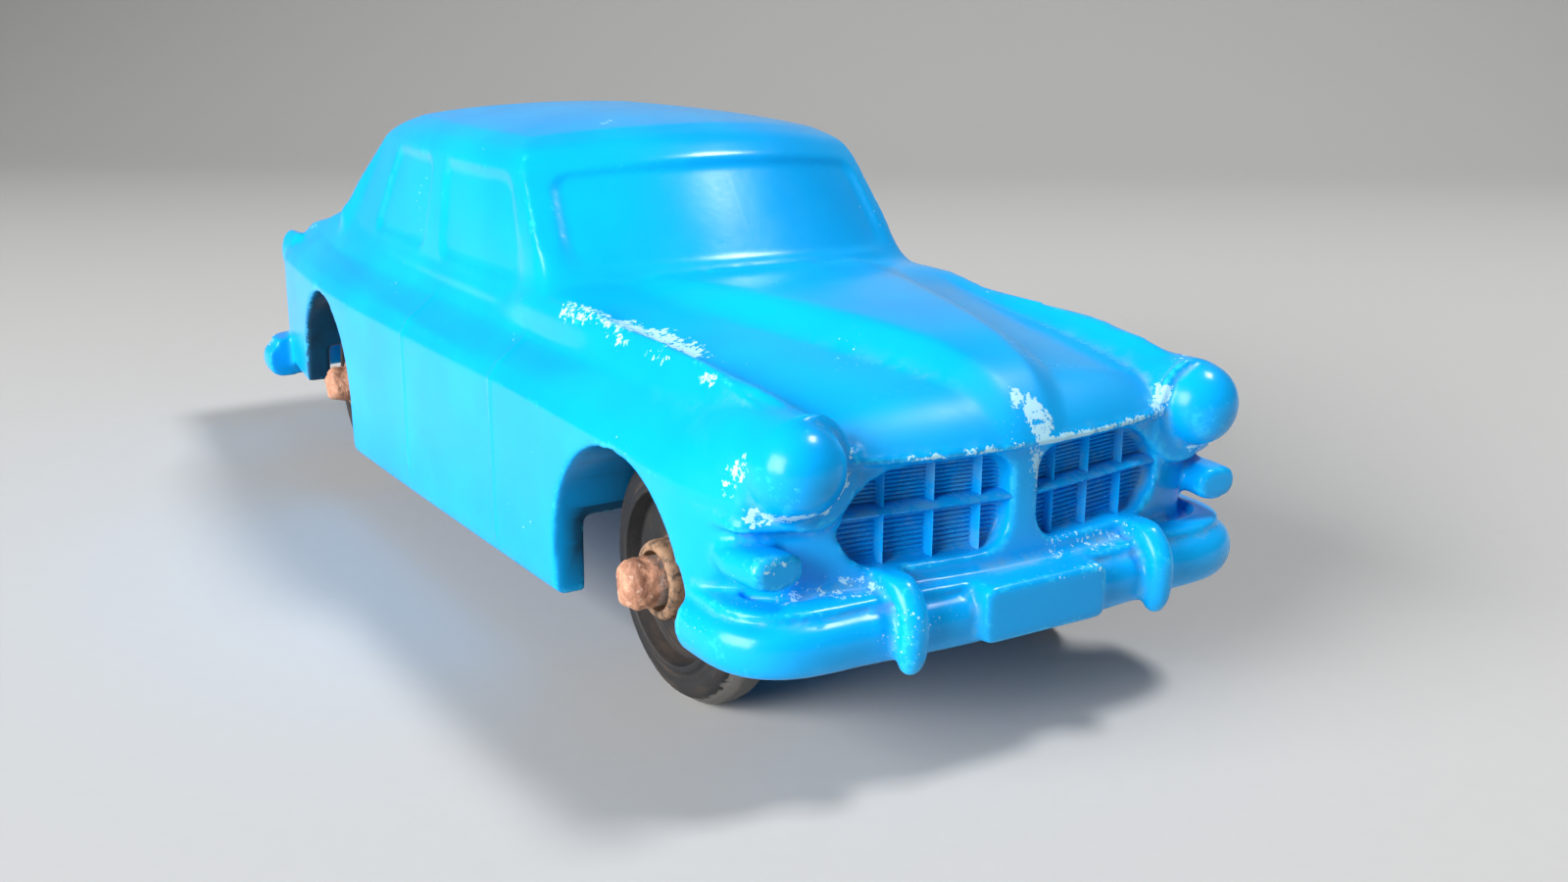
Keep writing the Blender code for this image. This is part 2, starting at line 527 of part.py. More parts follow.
def bumper(name, facing, half_width, side_end, bottom):
    # facing is -1 at the front and 1 at the rear; the section follows a shallow bow and turns both
    # corners sharply
    side_x = half_width - BUMPER_DEPTH
    root = LENGTH / 2 - BUMPER_INSET - BUMPER_DEPTH
    path = []
    for i in range(5):
        x = LIP_HALF_WIDTH * i / 4
        path.append((x, facing * (root - BUMPER_BOW * (i / 4) ** 2)))
    start_y = path[-1][1]
    bend_y = side_end + facing * 0.0012
    for i in range(1, 8):
        angle = pi / 14 * i
        path.append((blend(LIP_HALF_WIDTH, side_x, sin(angle) ** CORNER_POWER),
                     blend(bend_y, start_y, cos(angle) ** CORNER_POWER)))
    path.append((side_x, side_end))
    path = [(-x, y) for x, y in path[:0:-1]] + path
    rings = []
    for i, (x, y) in enumerate(path):
        before, after = path[max(i - 1, 0)], path[min(i + 1, len(path) - 1)]
        along = Vector((after[0] - before[0], after[1] - before[1])).normalized()
        out = Vector((-along.y, along.x)) * facing
        rings.append([(x + out.x * BUMPER_DEPTH * reach, y + out.y * BUMPER_DEPTH * reach, bottom + height)
                      for reach, height in BUMPER_SECTION])
    bar = loft(name, rings)
    levels = (bottom + 0.0001, bottom + BUMPER_SHELF)
    combine(bar, loft("shelf", [[(x, y, z) for x, y in path] for z in levels]), "UNION")
    return bar


# Path of an overrider: reach inward from the car's end, height above the bumper's lower edge, and
# share of the full section
OVERRIDER_PATH = ((0.0036, 0.0042, 0.9), (0.0021, 0.0047, 1.0), (0.0009, 0.0041, 1.0), (0.0, 0.0027, 1.0),
                  (0.0001, 0.0010, 1.0), (0.0003, 0.0001, 0.85), (0.0005, -0.0003, 0.5))


def overriders(name, facing, bottom):
    half = OVERRIDER_THICKNESS / 2
    end = facing * LENGTH / 2
    points = [(end - facing * (half + reach), bottom + height) for reach, height, share in OVERRIDER_PATH]
    rings = []
    for i, (y, z) in enumerate(points):
        before, after = points[max(i - 1, 0)], points[min(i + 1, len(points) - 1)]
        along = Vector((after[0] - before[0], after[1] - before[1])).normalized()
        share = OVERRIDER_PATH[i][2]
        ring = []
        for k in range(8):
            angle = pi / 4 * (k + 0.5)
            rise = half * share * sin(angle) / cos(pi / 8)
            across = OVERRIDER_WIDTH / 2 * share * cos(angle) / cos(pi / 8)
            ring.append((OVERRIDER_OFFSET + across, y - along.y * rise, z + along.x * rise))
        rings.append(ring)
    return pair(loft(name, rings))


def rounded_outline(x, z, radius, steps):
    # Points round a rectangle with rounded corners
    points = []
    for cx, cz, turn in ((x[1] - radius, z[0] + radius, -0.5), (x[1] - radius, z[1] - radius, 0.0),
                         (x[0] + radius, z[1] - radius, 0.5), (x[0] + radius, z[0] + radius, 1.0)):
        for i in range(steps + 1):
            angle = pi * (turn + 0.5 * i / steps)
            points.append((cx + radius * cos(angle), cz + radius * sin(angle)))
    return points


def plate():
    face = FRONT_END + BUMPER_INSET - PLATE_PROUD
    middle = (PLATE_BOTTOM + PLATE_TOP) / 2
    outline = rounded_outline((-PLATE_WIDTH / 2, PLATE_WIDTH / 2), (PLATE_BOTTOM, PLATE_TOP), 0.0007, 3)
    rings = []
    for y, share in ((face + BUMPER_DEPTH, 1.0), (face + 0.0002, 1.0), (face, 0.96)):
        rings.append([(x * share, y, blend(middle, z, share)) for x, z in outline])
    return loft("plate", rings)


def grille_plane(x):
    # Straight plan line of the grille panel between the two ends of one opening
    inner, outer = nose_plan(GRILLE_INNER), nose_plan(GRILLE_OUTER)
    return LIP_OVERHANG + blend(inner, outer, (x - GRILLE_INNER) / (GRILLE_OUTER - GRILLE_INNER))


def grille_cutters():
    # Rounded openings whose top is cut straight by the bonnet's lip
    top = LIP_HEIGHT - 0.00005
    outline = rounded_outline((GRILLE_INNER, GRILLE_OUTER), (GRILLE_BOTTOM, top + 0.0006), GRILLE_CORNER, 4)
    outline = [(x, min(z, top)) for x, z in outline]
    front = [(x, NOSE - 0.001, z) for x, z in outline]
    back = [(x, grille_plane(x) + GRILLE_DEPTH, z) for x, z in outline]
    return pair(loft("grille_cutter", [front, back]))


def grille_bar(name, x, z, relief):
    # A bar on the floor of an opening, which runs a little into what is round it
    corners = [(x[0], z[0]), (x[1], z[0]), (x[1], z[1]), (x[0], z[1])]
    return loft(name, [[(cx, grille_plane(cx) + depth, cz) for cx, cz in corners]
                       for depth in (GRILLE_DEPTH + OVERLAP, GRILLE_DEPTH - relief)])


def grille_fins():
    ends = (GRILLE_INNER - OVERLAP, GRILLE_OUTER + OVERLAP)
    fins = []
    for low, high in ((GRILLE_BOTTOM, RAIL_HEIGHT - RAIL_WIDTH / 2), (RAIL_HEIGHT + RAIL_WIDTH / 2, LIP_HEIGHT)):
        pitch = (high - low) / (FIN_COUNT + 0.5)
        for i in range(FIN_COUNT):
            z = low + pitch * (i + 0.75)
            fins.append(pair(grille_bar("fin", ends, (z - FIN_WIDTH / 2, z + FIN_WIDTH / 2), FIN_RELIEF)))
    return join("fins", fins)


def grille_uprights():
    ends = (GRILLE_BOTTOM - OVERLAP, LIP_HEIGHT + OVERLAP)
    sides = [(x - UPRIGHT_WIDTH / 2, x + UPRIGHT_WIDTH / 2) for x in UPRIGHT_OFFSETS]
    return join("uprights", [pair(grille_bar("upright", side, ends, UPRIGHT_RELIEF)) for side in sides])


def grille_rails():
    ends = (GRILLE_INNER - OVERLAP, GRILLE_OUTER + OVERLAP)
    return pair(grille_bar("rail", ends, (RAIL_HEIGHT - RAIL_WIDTH / 2, RAIL_HEIGHT + RAIL_WIDTH / 2), RAIL_RELIEF))


def wheel_wells(name, axle_y, grow):
    # Round over the wheel, straight down to the floor in front of it and behind it
    radius = ARCH_RADIUS + grow
    outline = [(axle_y - radius, BELOW_FLOOR)]
    for i in range(17):
        angle = pi * (1 - i / 16)
        outline.append((axle_y + radius * cos(angle), AXLE_HEIGHT + radius * sin(angle)))
    outline.append((axle_y + radius, BELOW_FLOOR))
    sides = (WELL_INNER - grow, HALF_WIDTH + 0.002)
    return pair(loft(name, [[(x, y, z) for y, z in outline] for x in sides]))


def underside_recess():
    outline = plan_outline(PAN_HEIGHT, SKIRT_WALL)
    return loft("underside", [[(x, y, z) for x, y in outline] for z in (BELOW_FLOOR, PAN_HEIGHT)])


def axle_lugs(axle_y):
    outline = [(axle_y + LUG_RADIUS, PAN_HEIGHT + OVERLAP)]
    for i in range(9):
        angle = -pi * i / 8
        outline.append((axle_y + LUG_RADIUS * cos(angle), AXLE_HEIGHT + LUG_RADIUS * sin(angle)))
    outline.append((axle_y - LUG_RADIUS, PAN_HEIGHT + OVERLAP))
    outer = WELL_INNER - LUG_STEP
    return pair(loft("lug", [[(x, y, z) for y, z in outline] for x in (outer - LUG_WIDTH, outer)]))


def lug_keyhole(axle_y):
    # The axle's bore, open below through a narrower mouth that the axle snaps past
    half = LUG_MOUTH / 2
    mouth = acos(half / BORE_RADIUS)
    outline = [(axle_y - half, AXLE_HEIGHT - 2 * LUG_RADIUS), (axle_y + half, AXLE_HEIGHT - 2 * LUG_RADIUS)]
    for i in range(15):
        angle = blend(-mouth, pi + mouth, i / 14)
        outline.append((axle_y + BORE_RADIUS * cos(angle), AXLE_HEIGHT + BORE_RADIUS * sin(angle)))
    reach = WELL_INNER + OVERLAP
    return loft("keyhole", [[(x, y, z) for y, z in outline] for x in (-reach, reach)])


def cavity():
    # The hollow of the moulding: the outer shape drawn in by the wall, clear of pan and wheel wells
    floor = PAN_HEIGHT + MOULD_WALL
    hollow = plan_solid("cavity", (floor, 0.0168, 0.0178, 0.0190, 0.0204, 0.0224), MOULD_WALL)
    rows = (NOSE, NOSE + 0.004, FRONT_AXLE, COWL, REAR_AXLE, DECK, TAIL - 0.004, TAIL)
    combine(hollow, top_solid("cavity_top", rows, MOULD_WALL), "INTERSECT")
    combine(hollow, cabin_solid("cavity_cabin", CAVITY_COLUMNS, MOULD_WALL), "UNION")
    for axle_y in (FRONT_AXLE, REAR_AXLE):
        combine(hollow, wheel_wells("well_wall", axle_y, MOULD_WALL), "DIFFERENCE")
    return hollow


def vent():
    # The opening in the pan through which the moulding was drained
    radius = VENT_DIAMETER / 2
    circle = [(radius * cos(pi * i / 8), ROOF_CENTRE + radius * sin(pi * i / 8)) for i in range(16)]
    levels = (PAN_HEIGHT - OVERLAP, PAN_HEIGHT + MOULD_WALL + OVERLAP)
    return loft("vent", [[(x, y, z) for x, y in circle] for z in levels])


def body_shell():
    body = plan_solid("body_shell", SIDE_LEVELS)
    combine(body, top_solid("top", TOP_ROWS), "INTERSECT")
    combine(body, cabin_solid("cabin", CABIN_COLUMNS), "UNION")
    for shape in (headlamps(), signals(), tail_lamps()):
        combine(body, shape, "UNION")
    combine(body, box("front_undercut", (-BODY_WIDTH, BODY_WIDTH), (2 * FRONT_END, FRONT_AXLE - ARCH_RADIUS),
                      (BELOW_FLOOR, FRONT_SKIRT_HEIGHT)), "DIFFERENCE")
    combine(body, box("rear_undercut", (-BODY_WIDTH, BODY_WIDTH), (REAR_AXLE + ARCH_RADIUS, 2 * REAR_END),
                      (BELOW_FLOOR, REAR_SKIRT_HEIGHT)), "DIFFERENCE")
    front_end = FRONT_AXLE - ARCH_RADIUS
    combine(body, bumper("front_bumper", -1, FRONT_BUMPER_HALF_WIDTH, front_end, FRONT_BUMPER_HEIGHT), "UNION")
    wrap = TAIL - REAR_BUMPER_WRAP
    combine(body, bumper("rear_bumper", 1, REAR_BUMPER_HALF_WIDTH, wrap, REAR_BUMPER_HEIGHT), "UNION")
    combine(body, plate(), "UNION")
    combine(body, overriders("front_overrider", -1, FRONT_BUMPER_HEIGHT), "UNION")
    combine(body, overriders("rear_overrider", 1, REAR_BUMPER_HEIGHT), "UNION")
    combine(body, grille_cutters(), "DIFFERENCE")
    for bars in (grille_fins(), grille_uprights(), grille_rails()):
        combine(body, bars, "UNION")
    for axle_y in (FRONT_AXLE, REAR_AXLE):
        combine(body, wheel_wells("well", axle_y, 0.0), "DIFFERENCE")
    combine(body, underside_recess(), "DIFFERENCE")
    for axle_y in (FRONT_AXLE, REAR_AXLE):
        combine(body, axle_lugs(axle_y), "UNION")
        combine(body, lug_keyhole(axle_y), "DIFFERENCE")
    combine(body, cavity(), "DIFFERENCE")
    combine(body, vent(), "DIFFERENCE")
    tidy(body)
    body.data.transform(Matrix.Translation((0, 0, LIFT)))
    return body


def turned(name, profile, segments, closed=False):
    # A solid turned about X from (x, radius) points, a facet at the bottom; a closed profile is a ring
    rings = []
    for x, radius in profile:
        angles = [2 * pi * (i + 0.5) / segments - pi / 2 for i in range(segments)]
        rings.append([(x, radius * cos(angle), radius * sin(angle)) for angle in angles])
    return loft(name, rings, closed)


def axle(name, axle_y):
    shoulder = TYRE_CENTRE + TYRE_WIDTH / 2 + HUB_REACH - COUNTERBORE_DEPTH + FIT_GAP
    rod, head = AXLE_DIAMETER / 2, HEAD_DIAMETER / 2
    half = [(shoulder, rod), (shoulder, head - HEAD_EDGE), (shoulder + HEAD_EDGE, head)]
    for angle in (0.0, 0.45, 0.9, 1.3):
        half.append((shoulder + HEAD_LENGTH - HEAD_ROUND * (1 - sin(angle)),
                     head - HEAD_ROUND * (1 - cos(angle))))
    obj = turned(name, [(-x, radius) for x, radius in half[::-1]] + half, AXLE_SEGMENTS)
    obj.location = (0, axle_y, WHEEL_DIAMETER / 2)
    return obj


def wheel(name, side):
    # x runs outward from the middle of the tyre
    tread, half = WHEEL_DIAMETER / 2 / cos(pi / WHEEL_SEGMENTS), TYRE_WIDTH / 2
    head_room = HEAD_DIAMETER / 2 + FIT_GAP
    face, ridge, hub = half - DISC_RECESS, half + RIDGE_HEIGHT, half + HUB_REACH
    seat = hub - COUNTERBORE_DEPTH
    shoulder = [(half * 0.32, tread)]
    shoulder += [(half - SHOULDER_RADIUS * (1 - sin(a)), tread - TREAD_CROWN - SHOULDER_RADIUS * (1 - cos(a)))
                 for a in (0.3, 0.8, pi / 2)]
    profile = [(seat, BORE_RADIUS), (-half, BORE_RADIUS), (-half, RIDGE_RADIUS)]
    profile += [(-x, radius) for x, radius in shoulder[::-1]] + shoulder
    profile += [(half, RIDGE_RADIUS + RIDGE_WIDTH), (ridge, RIDGE_RADIUS + RIDGE_WIDTH * 0.7),
                (ridge, RIDGE_RADIUS + RIDGE_WIDTH * 0.3), (face, RIDGE_RADIUS),
                (face, HUB_RADIUS), (hub - HUB_CHAMFER, HUB_RADIUS), (hub, HUB_RADIUS - HUB_CHAMFER / 2),
                (hub, head_room), (seat, head_room)]
    obj = turned(name, [(side * x, radius) for x, radius in profile], WHEEL_SEGMENTS, closed=True)
    obj.location.x = side * TYRE_CENTRE
    return obj


def material(name, colour, roughness, metallic=0.0):
    mat = bpy.data.materials.new(name)
    mat.use_nodes = True
    shader = mat.node_tree.nodes["Principled BSDF"]
    shader.inputs["Base Color"].default_value = (*colour, 1.0)
    shader.inputs["Roughness"].default_value = roughness
    shader.inputs["Metallic"].default_value = metallic
    return mat


def finish(obj, mat, parent=None):
    obj.data.materials.clear()
    obj.data.materials.append(mat)
    obj.data.shade_smooth()
    obj.data.set_sharp_from_angle(angle=0.6)
    obj.parent = parent


def main():
    for obj in list(bpy.data.objects):
        bpy.data.objects.remove(obj)
    vinyl = material("azure_vinyl", (0.005, 0.25, 0.68), 0.3)
    rubber = material("black_rubber", (0.02, 0.02, 0.021), 0.7)
    steel = material("rusty_steel", (0.26, 0.13, 0.075), 0.75, 0.3)
    shell = body_shell()
    finish(shell, vinyl)
    for end, axle_y in (("front", FRONT_AXLE), ("rear", REAR_AXLE)):
        rod = axle(end + "_axle", axle_y)
        finish(rod, steel, shell)
        for side, word in ((-1, "right"), (1, "left")):
            finish(wheel("wheel_" + end + "_" + word, side), rubber, rod)


main()
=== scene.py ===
from math import acos, cos, pi, radians, sin

import bmesh
import bpy
import numpy as np
from mathutils import Matrix, Vector, noise


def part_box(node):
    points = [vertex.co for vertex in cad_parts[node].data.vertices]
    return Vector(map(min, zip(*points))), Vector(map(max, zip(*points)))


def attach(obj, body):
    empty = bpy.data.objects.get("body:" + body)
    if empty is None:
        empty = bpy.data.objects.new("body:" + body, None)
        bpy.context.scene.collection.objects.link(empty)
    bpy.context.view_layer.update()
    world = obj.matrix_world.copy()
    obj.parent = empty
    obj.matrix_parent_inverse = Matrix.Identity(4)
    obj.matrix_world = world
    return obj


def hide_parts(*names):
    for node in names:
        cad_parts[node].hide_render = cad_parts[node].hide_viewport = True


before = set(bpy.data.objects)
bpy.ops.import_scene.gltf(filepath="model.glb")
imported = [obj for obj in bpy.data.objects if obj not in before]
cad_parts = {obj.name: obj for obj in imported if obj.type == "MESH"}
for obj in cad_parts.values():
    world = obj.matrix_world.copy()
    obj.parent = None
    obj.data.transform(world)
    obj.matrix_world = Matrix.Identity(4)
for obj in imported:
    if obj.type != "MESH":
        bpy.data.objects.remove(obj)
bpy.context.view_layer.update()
print("frame loaded")

# Places along the car, in metres. Heights are over the body's base line, just above the floor
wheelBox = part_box("wheel_front_left")
wheelRadius = (wheelBox[1].z - wheelBox[0].z) / 2
car = {
    "length": 0.1034,
    "halfWidth": 0.0188,
    "axleHeight": 0.0077,
    "frontAxle": (wheelBox[0].y + wheelBox[1].y) / 2,
    "rearAxle": sum(corner.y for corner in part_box("wheel_rear_left")) / 2,
    "nose": -0.0497,
    "tail": 0.0497,
    "cowl": -0.0205,
    "deck": 0.0356,
    "crown": 0.0338,
}
lift = wheelRadius - car["axleHeight"]  # base line above the floor
nose, tail, cowl, deck = car["nose"], car["tail"], car["cowl"], car["deck"]
frontAxle, rearAxle = car["frontAxle"], car["rearAxle"]


# Small helpers
def smoothStep(value, start, end):
    t = np.clip((value - start) / (end - start), 0, 1)
    return t * t * (3 - 2 * t)


def mix(a, b, t):
    return a + (b - a) * t


def bump(value, centre, width):
    return np.exp(-((value - centre) / width) ** 2)


def curve(*stations):
    # a smooth line through (place, value) stations that never overshoots them
    px, py = np.array(stations, float).T
    slopes = np.diff(py) / np.diff(px)
    inner = [2 * a * b / (a + b) if a * b > 0 else 0.0 for a, b in zip(slopes, slopes[1:])]
    m = np.array([slopes[0], *inner, slopes[-1]])

    def value(x):
        x = np.clip(x, px[0], px[-1])
        i = np.clip(np.searchsorted(px, x) - 1, 0, len(px) - 2)
        span = px[i + 1] - px[i]
        t = (x - px[i]) / span
        near = 2 * t ** 3 - 3 * t ** 2 + 1
        return (near * py[i] + (1 - near) * py[i + 1] + (t ** 3 - 2 * t ** 2 + t) * span * m[i]
                + (t ** 3 - t ** 2) * span * m[i + 1])
    return value


def columnCurves(table):
    # one curve for each column, over the row numbers
    return [curve(*zip(range(len(table)), column)) for column in np.array(table).T]


def soften(line, rounds):
    # the points between the ends move towards their neighbours
    for _ in range(rounds):
        line[1:-1] = line[1:-1] / 2 + (line[:-2] + line[2:]) / 4
    return line


def tangents(line):
    along = np.gradient(line, axis=0)
    return along / np.linalg.norm(along, axis=1)[:, None]


def arc(centre, radius, angles):
    return [(centre[0] + radius * cos(a), centre[1] + radius * sin(a)) for a in angles]


def fullTurn(steps):
    return np.linspace(0, 2 * pi, steps, endpoint=False)


def inScene(name, data):
    obj = bpy.data.objects.new(name, data)
    bpy.context.scene.collection.objects.link(obj)
    return obj


def newObject(name, vertices, faces):
    mesh = bpy.data.meshes.new(name)
    mesh.from_pydata([tuple(v) for v in vertices], [], faces)
    return inScene(name, mesh)


def facesOut(obj):
    bm = bmesh.new()
    bm.from_mesh(obj.data)
    bmesh.ops.remove_doubles(bm, verts=bm.verts, dist=1e-7)
    bmesh.ops.recalc_face_normals(bm, faces=bm.faces)
    bm.to_mesh(obj.data)
    bm.free()
    return obj


def loft(name, rings, closed=False):
    # rings of equal length become one skin, capped or closed on itself
    count, total = len(rings[0]), len(rings)
    faces = [] if closed else [list(range(count)), list(range((total - 1) * count, total * count))]
    for r in range(total if closed else total - 1):
        near, far = r * count, (r + 1) % total * count
        faces += [[near + i, near + (i + 1) % count, far + (i + 1) % count, far + i] for i in range(count)]
    return facesOut(newObject(name, [v for ring in rings for v in ring], faces))


def prism(name, outline, reach):
    # a side view outline drawn out across the car
    return loft(name, [[(x, y, z) for y, z in outline] for x in reach])


def block(name, x, y, z):
    ring = [(x[0], y[0]), (x[1], y[0]), (x[1], y[1]), (x[0], y[1])]
    return loft(name, [[(px, py, pz) for px, py in ring] for pz in z])


def merge(name, *objects):
    bm = bmesh.new()
    for obj in objects:
        bm.from_mesh(obj.data)
        bpy.data.objects.remove(obj)
    mesh = bpy.data.meshes.new(name)
    bm.to_mesh(mesh)
    bm.free()
    return inScene(name, mesh)


def pair(obj):
    # the piece and its mirror image on the car's other side
    vertices = [(-v.co.x, v.co.y, v.co.z) for v in obj.data.vertices]
    faces = [list(p.vertices) for p in obj.data.polygons]
    return merge(obj.name, obj, facesOut(newObject(obj.name + "Twin", vertices, faces)))


def evaluated(obj):
    # what the modifiers make of an object becomes its plain mesh
    graph = bpy.context.evaluated_depsgraph_get()
    mesh = bpy.data.meshes.new_from_object(obj.evaluated_get(graph))
    obj.modifiers.clear()
    obj.data = mesh
    return obj


def roundedOutline(x, z, corners, steps=10):
    # radii of the corners: low at the larger x, high there, high at the smaller x, low there
    outline = []
    places = ((1, 0, -1, 1, -0.5), (1, 1, -1, -1, 0.0), (0, 1, 1, -1, 0.5), (0, 0, 1, 1, 1.0))
    for radius, (i, j, inX, inZ, turn) in zip(corners, places):
        centre = (x[i] + inX * radius, z[j] + inZ * radius)
        outline += arc(centre, radius, pi * (turn + np.linspace(0, 0.5, steps)))
    return outline


def mirrored(half):
    # a half outline from the front middle to the rear middle becomes the whole one
    return np.concatenate([half, (half * (-1, 1))[-2:0:-1]])


# Lines of the body along the car
sideLine = curve((nose + 0.0030, 0.0172), (nose + 0.0095, 0.0186), (frontAxle, 0.0187),
                 (frontAxle + 0.03025, 0.0188), (rearAxle - 0.012, 0.0187), (rearAxle, 0.0183),
                 (deck, 0.0175), (tail - 0.0070, 0.0167), (tail, 0.0157))
centreLine = curve((nose, 0.0204), (frontAxle - 0.008, 0.0217), (frontAxle, 0.0225), (cowl, 0.0234),
                   (deck, 0.0234), (deck + 0.007, 0.0222), (tail, 0.0197))
bulgeHeight = curve((nose, 0.0006), (frontAxle - 0.008, 0.0015), (frontAxle + 0.004, 0.0012), (cowl, 0.0004),
                    (cowl + 0.01, 0.0))
bulgeCrest = curve((nose, 0.0007), (frontAxle - 0.008, 0.0024), (cowl, 0.0075))
bulgeFoot = curve((nose, 0.0026), (frontAxle - 0.008, 0.0054), (cowl, 0.0110))
valleyHeight = curve((nose, 0.0191), (frontAxle - 0.008, 0.0203), (cowl - 0.006, 0.0219), (cowl, 0.0230),
                     (deck - 0.002, 0.0230), (deck + 0.004, 0.0213), (deck + 0.007, 0.0207), (tail, 0.0188))
valleyOffset = curve((nose, 0.0114), (frontAxle, 0.0129), (cowl, 0.0133), (deck, 0.0130), (tail, 0.0122))
wingHeight = curve((nose, 0.0212), (frontAxle - 0.010, 0.0216), (frontAxle, 0.0220), (cowl - 0.007, 0.0221),
                   (cowl, 0.0228), (cowl + 0.004, 0.0227), (cowl + 0.012, 0.0211), (rearAxle - 0.018, 0.0208),
                   (rearAxle, 0.0214), (deck - 0.001, 0.0222), (deck + 0.003, 0.0218), (tail, 0.0207))
wingOffset = curve((nose, 0.0144), (cowl, 0.0147), (rearAxle, 0.0149), (tail, 0.0147))
sideInset = curve((0.0043, 0.0007), (0.0047, 0.0002), (0.0055, 0.0001), (0.0100, 0.0), (0.0168, 0.0),
                  (0.0171, 0.0002), (0.0178, 0.0006), (0.0184, 0.0013), (0.0190, 0.0021), (0.0196, 0.0028),
                  (0.0204, 0.0032), (0.0212, 0.0036), (0.0218, 0.0039), (0.0223, 0.0043), (0.0228, 0.0049),
                  (0.0232, 0.0056))

lowerBody = {
    "sillFall": 0.022,       # the sill drops towards the rear
    "fallFrom": 0.0092,
    "lipWidth": 0.0114,
    "lipHeight": 0.0178,
    "lipOverhang": 0.0007,
    "lampShelf": 0.0145,
    "noseBow": 0.0014,
    "tailBow": 0.0006,
    "noseRound": 0.0034,
    "tailRound": 0.0010,
    "shoulderPad": 0.0012,
    "archRadius": 0.0086,
    "wellInner": 0.0104,
    "wall": 0.0023,
    "pan": 0.0095,
    "frontSkirt": 0.0070,
    "rearSkirt": 0.0062,
    # the crease at each end of the nose, at the lamps and lower down: offset, distance behind the
    # nose, that of the middle of the corner, and the run from the crease into the side
    "creaseX": (0.0173, 0.0180),
    "creaseBack": (0.0033, 0.0041),
    "cornerBack": (0.0021, 0.0029),
    "creaseRun": (0.0025, 0.0010),
    "softening": 2,
}


def nosePlan(x):
    return nose + lowerBody["noseBow"] * (x / lowerBody["lipWidth"]) ** 2


def tailPlan(x):
    return tail - lowerBody["tailBow"] * (x / lowerBody["lipWidth"]) ** 2


def between(corners, steps):
    # points along the straight lines from corner to corner, without the first corner
    return np.concatenate([np.linspace(a, b, steps)[1:] for a, b in zip(corners, corners[1:])])


def planHalf(z, inset=0.0):
    # half of the plan outline at height z, with the same number of points at every height
    lb = lowerBody
    drawIn = sideInset(z) + inset
    belowLip = smoothStep(z, lb["lipHeight"] + 0.0001, lb["lipHeight"])
    belowLamp = smoothStep(z, lb["lampShelf"] + 0.0001, lb["lampShelf"])
    down = smoothStep(z, lb["lampShelf"], lb["fallFrom"])
    creaseX = mix(*lb["creaseX"], down) - drawIn
    creaseY = mix(nose + mix(*lb["creaseBack"], belowLamp), frontAxle - lb["archRadius"] - 0.0004, down)
    lipX = min(lb["lipWidth"] - inset, creaseX - 0.0020)
    x = np.linspace(0, lipX, 30)
    front = np.stack([x, nosePlan(x) + lb["lipOverhang"] * belowLip + inset], 1)
    start = creaseY + inset + mix(*lb["creaseRun"], down)
    end = tail - 0.0035 - inset
    bend = between(np.array([
        front[-1], ((lipX + creaseX) / 2, nose + mix(*lb["cornerBack"], belowLamp) + inset),
        (creaseX, creaseY + inset), (sideLine(start) - drawIn, start)]), 12)
    y = np.linspace(start, end, 190)[1:]
    pad = smoothStep(y, cowl - 0.009, cowl + 0.001) * smoothStep(y, cowl + 0.014, cowl + 0.005)
    side = np.stack([sideLine(y) - drawIn + lb["shoulderPad"] * pad * smoothStep(z, 0.0196, 0.0223), y], 1)
    cornerX = sideLine(tail) - drawIn
    x = np.linspace(min(lb["lipWidth"], cornerX - 0.0024), 0, 30)
    rear = np.stack([x, tailPlan(x) - inset], 1)
    turn = between(np.array([
        side[-1], (cornerX - 0.0003, tail - 0.0015 - inset), (cornerX - 0.0016, tail - 0.0008 - inset),
        rear[0]]), 6)
    return soften(np.concatenate([front, bend, side, turn, rear[1:]]), lb["softening"])


def planSolid(levels):
    rings = []
    for z in levels:
        fall = lowerBody["sillFall"] * smoothStep(z, lowerBody["fallFrom"], 0.0055)
        rings.append([(x, y, z - fall * (y - cowl)) for x, y in mirrored(planHalf(z))])
    return loft("lowerBody", rings)


def topHeight(x, y):
    # bonnet, wings and boot lid
    a = np.abs(x)
    valleyX, centre, valley = valleyOffset(y), centreLine(y), valleyHeight(y)
    inner = centre - (centre - valley) * (a / valleyX) ** 2.4
    inner = inner + bulgeHeight(y) * (1 - smoothStep(a, bulgeCrest(y), bulgeFoot(y)))
    outer = mix(valley, wingHeight(y), smoothStep(a, valleyX, wingOffset(y)))
    z = np.where(a < valleyX, inner, outer)
    for distance, end in ((y - nosePlan(x), "noseRound"), (tailPlan(x) - y, "tailRound")):
        radius = lowerBody[end]
        drop = np.clip(radius - distance, 0, radius)
        z = z - (radius - np.sqrt(radius ** 2 - drop ** 2))
    return z


def topSolid():
    first, last = nose - 0.001, tail + 0.001
    rows = np.concatenate([np.linspace(first, nose + 0.0025, 30)[:-1],
                           np.linspace(nose + 0.0025, tail - 0.0013, 230)[:-1],
                           np.linspace(tail - 0.0013, last, 22)])
    across = np.concatenate([np.linspace(0, 0.0110, 36)[:-1], np.linspace(0.0110, 0.0160, 26)[:-1],
                             [0.0165, 0.0198]])
    across = np.concatenate([-across[:0:-1], across])
    rings = []
    for row in rows:
        bow = 0.0
        if first < row < last:
            bow = (lowerBody["noseBow"] * smoothStep(row, nose + 0.012, nose + 0.004)
                   - lowerBody["tailBow"] * smoothStep(row, tail - 0.012, tail - 0.004))
        y = row + (across / lowerBody["lipWidth"]) ** 2 * bow
        above = np.stack([across, y, topHeight(across, y)], 1)
        rings.append([*above, (above[-1][0], above[-1][1], -0.001), (above[0][0], above[0][1], -0.001)])
    return loft("top", rings)


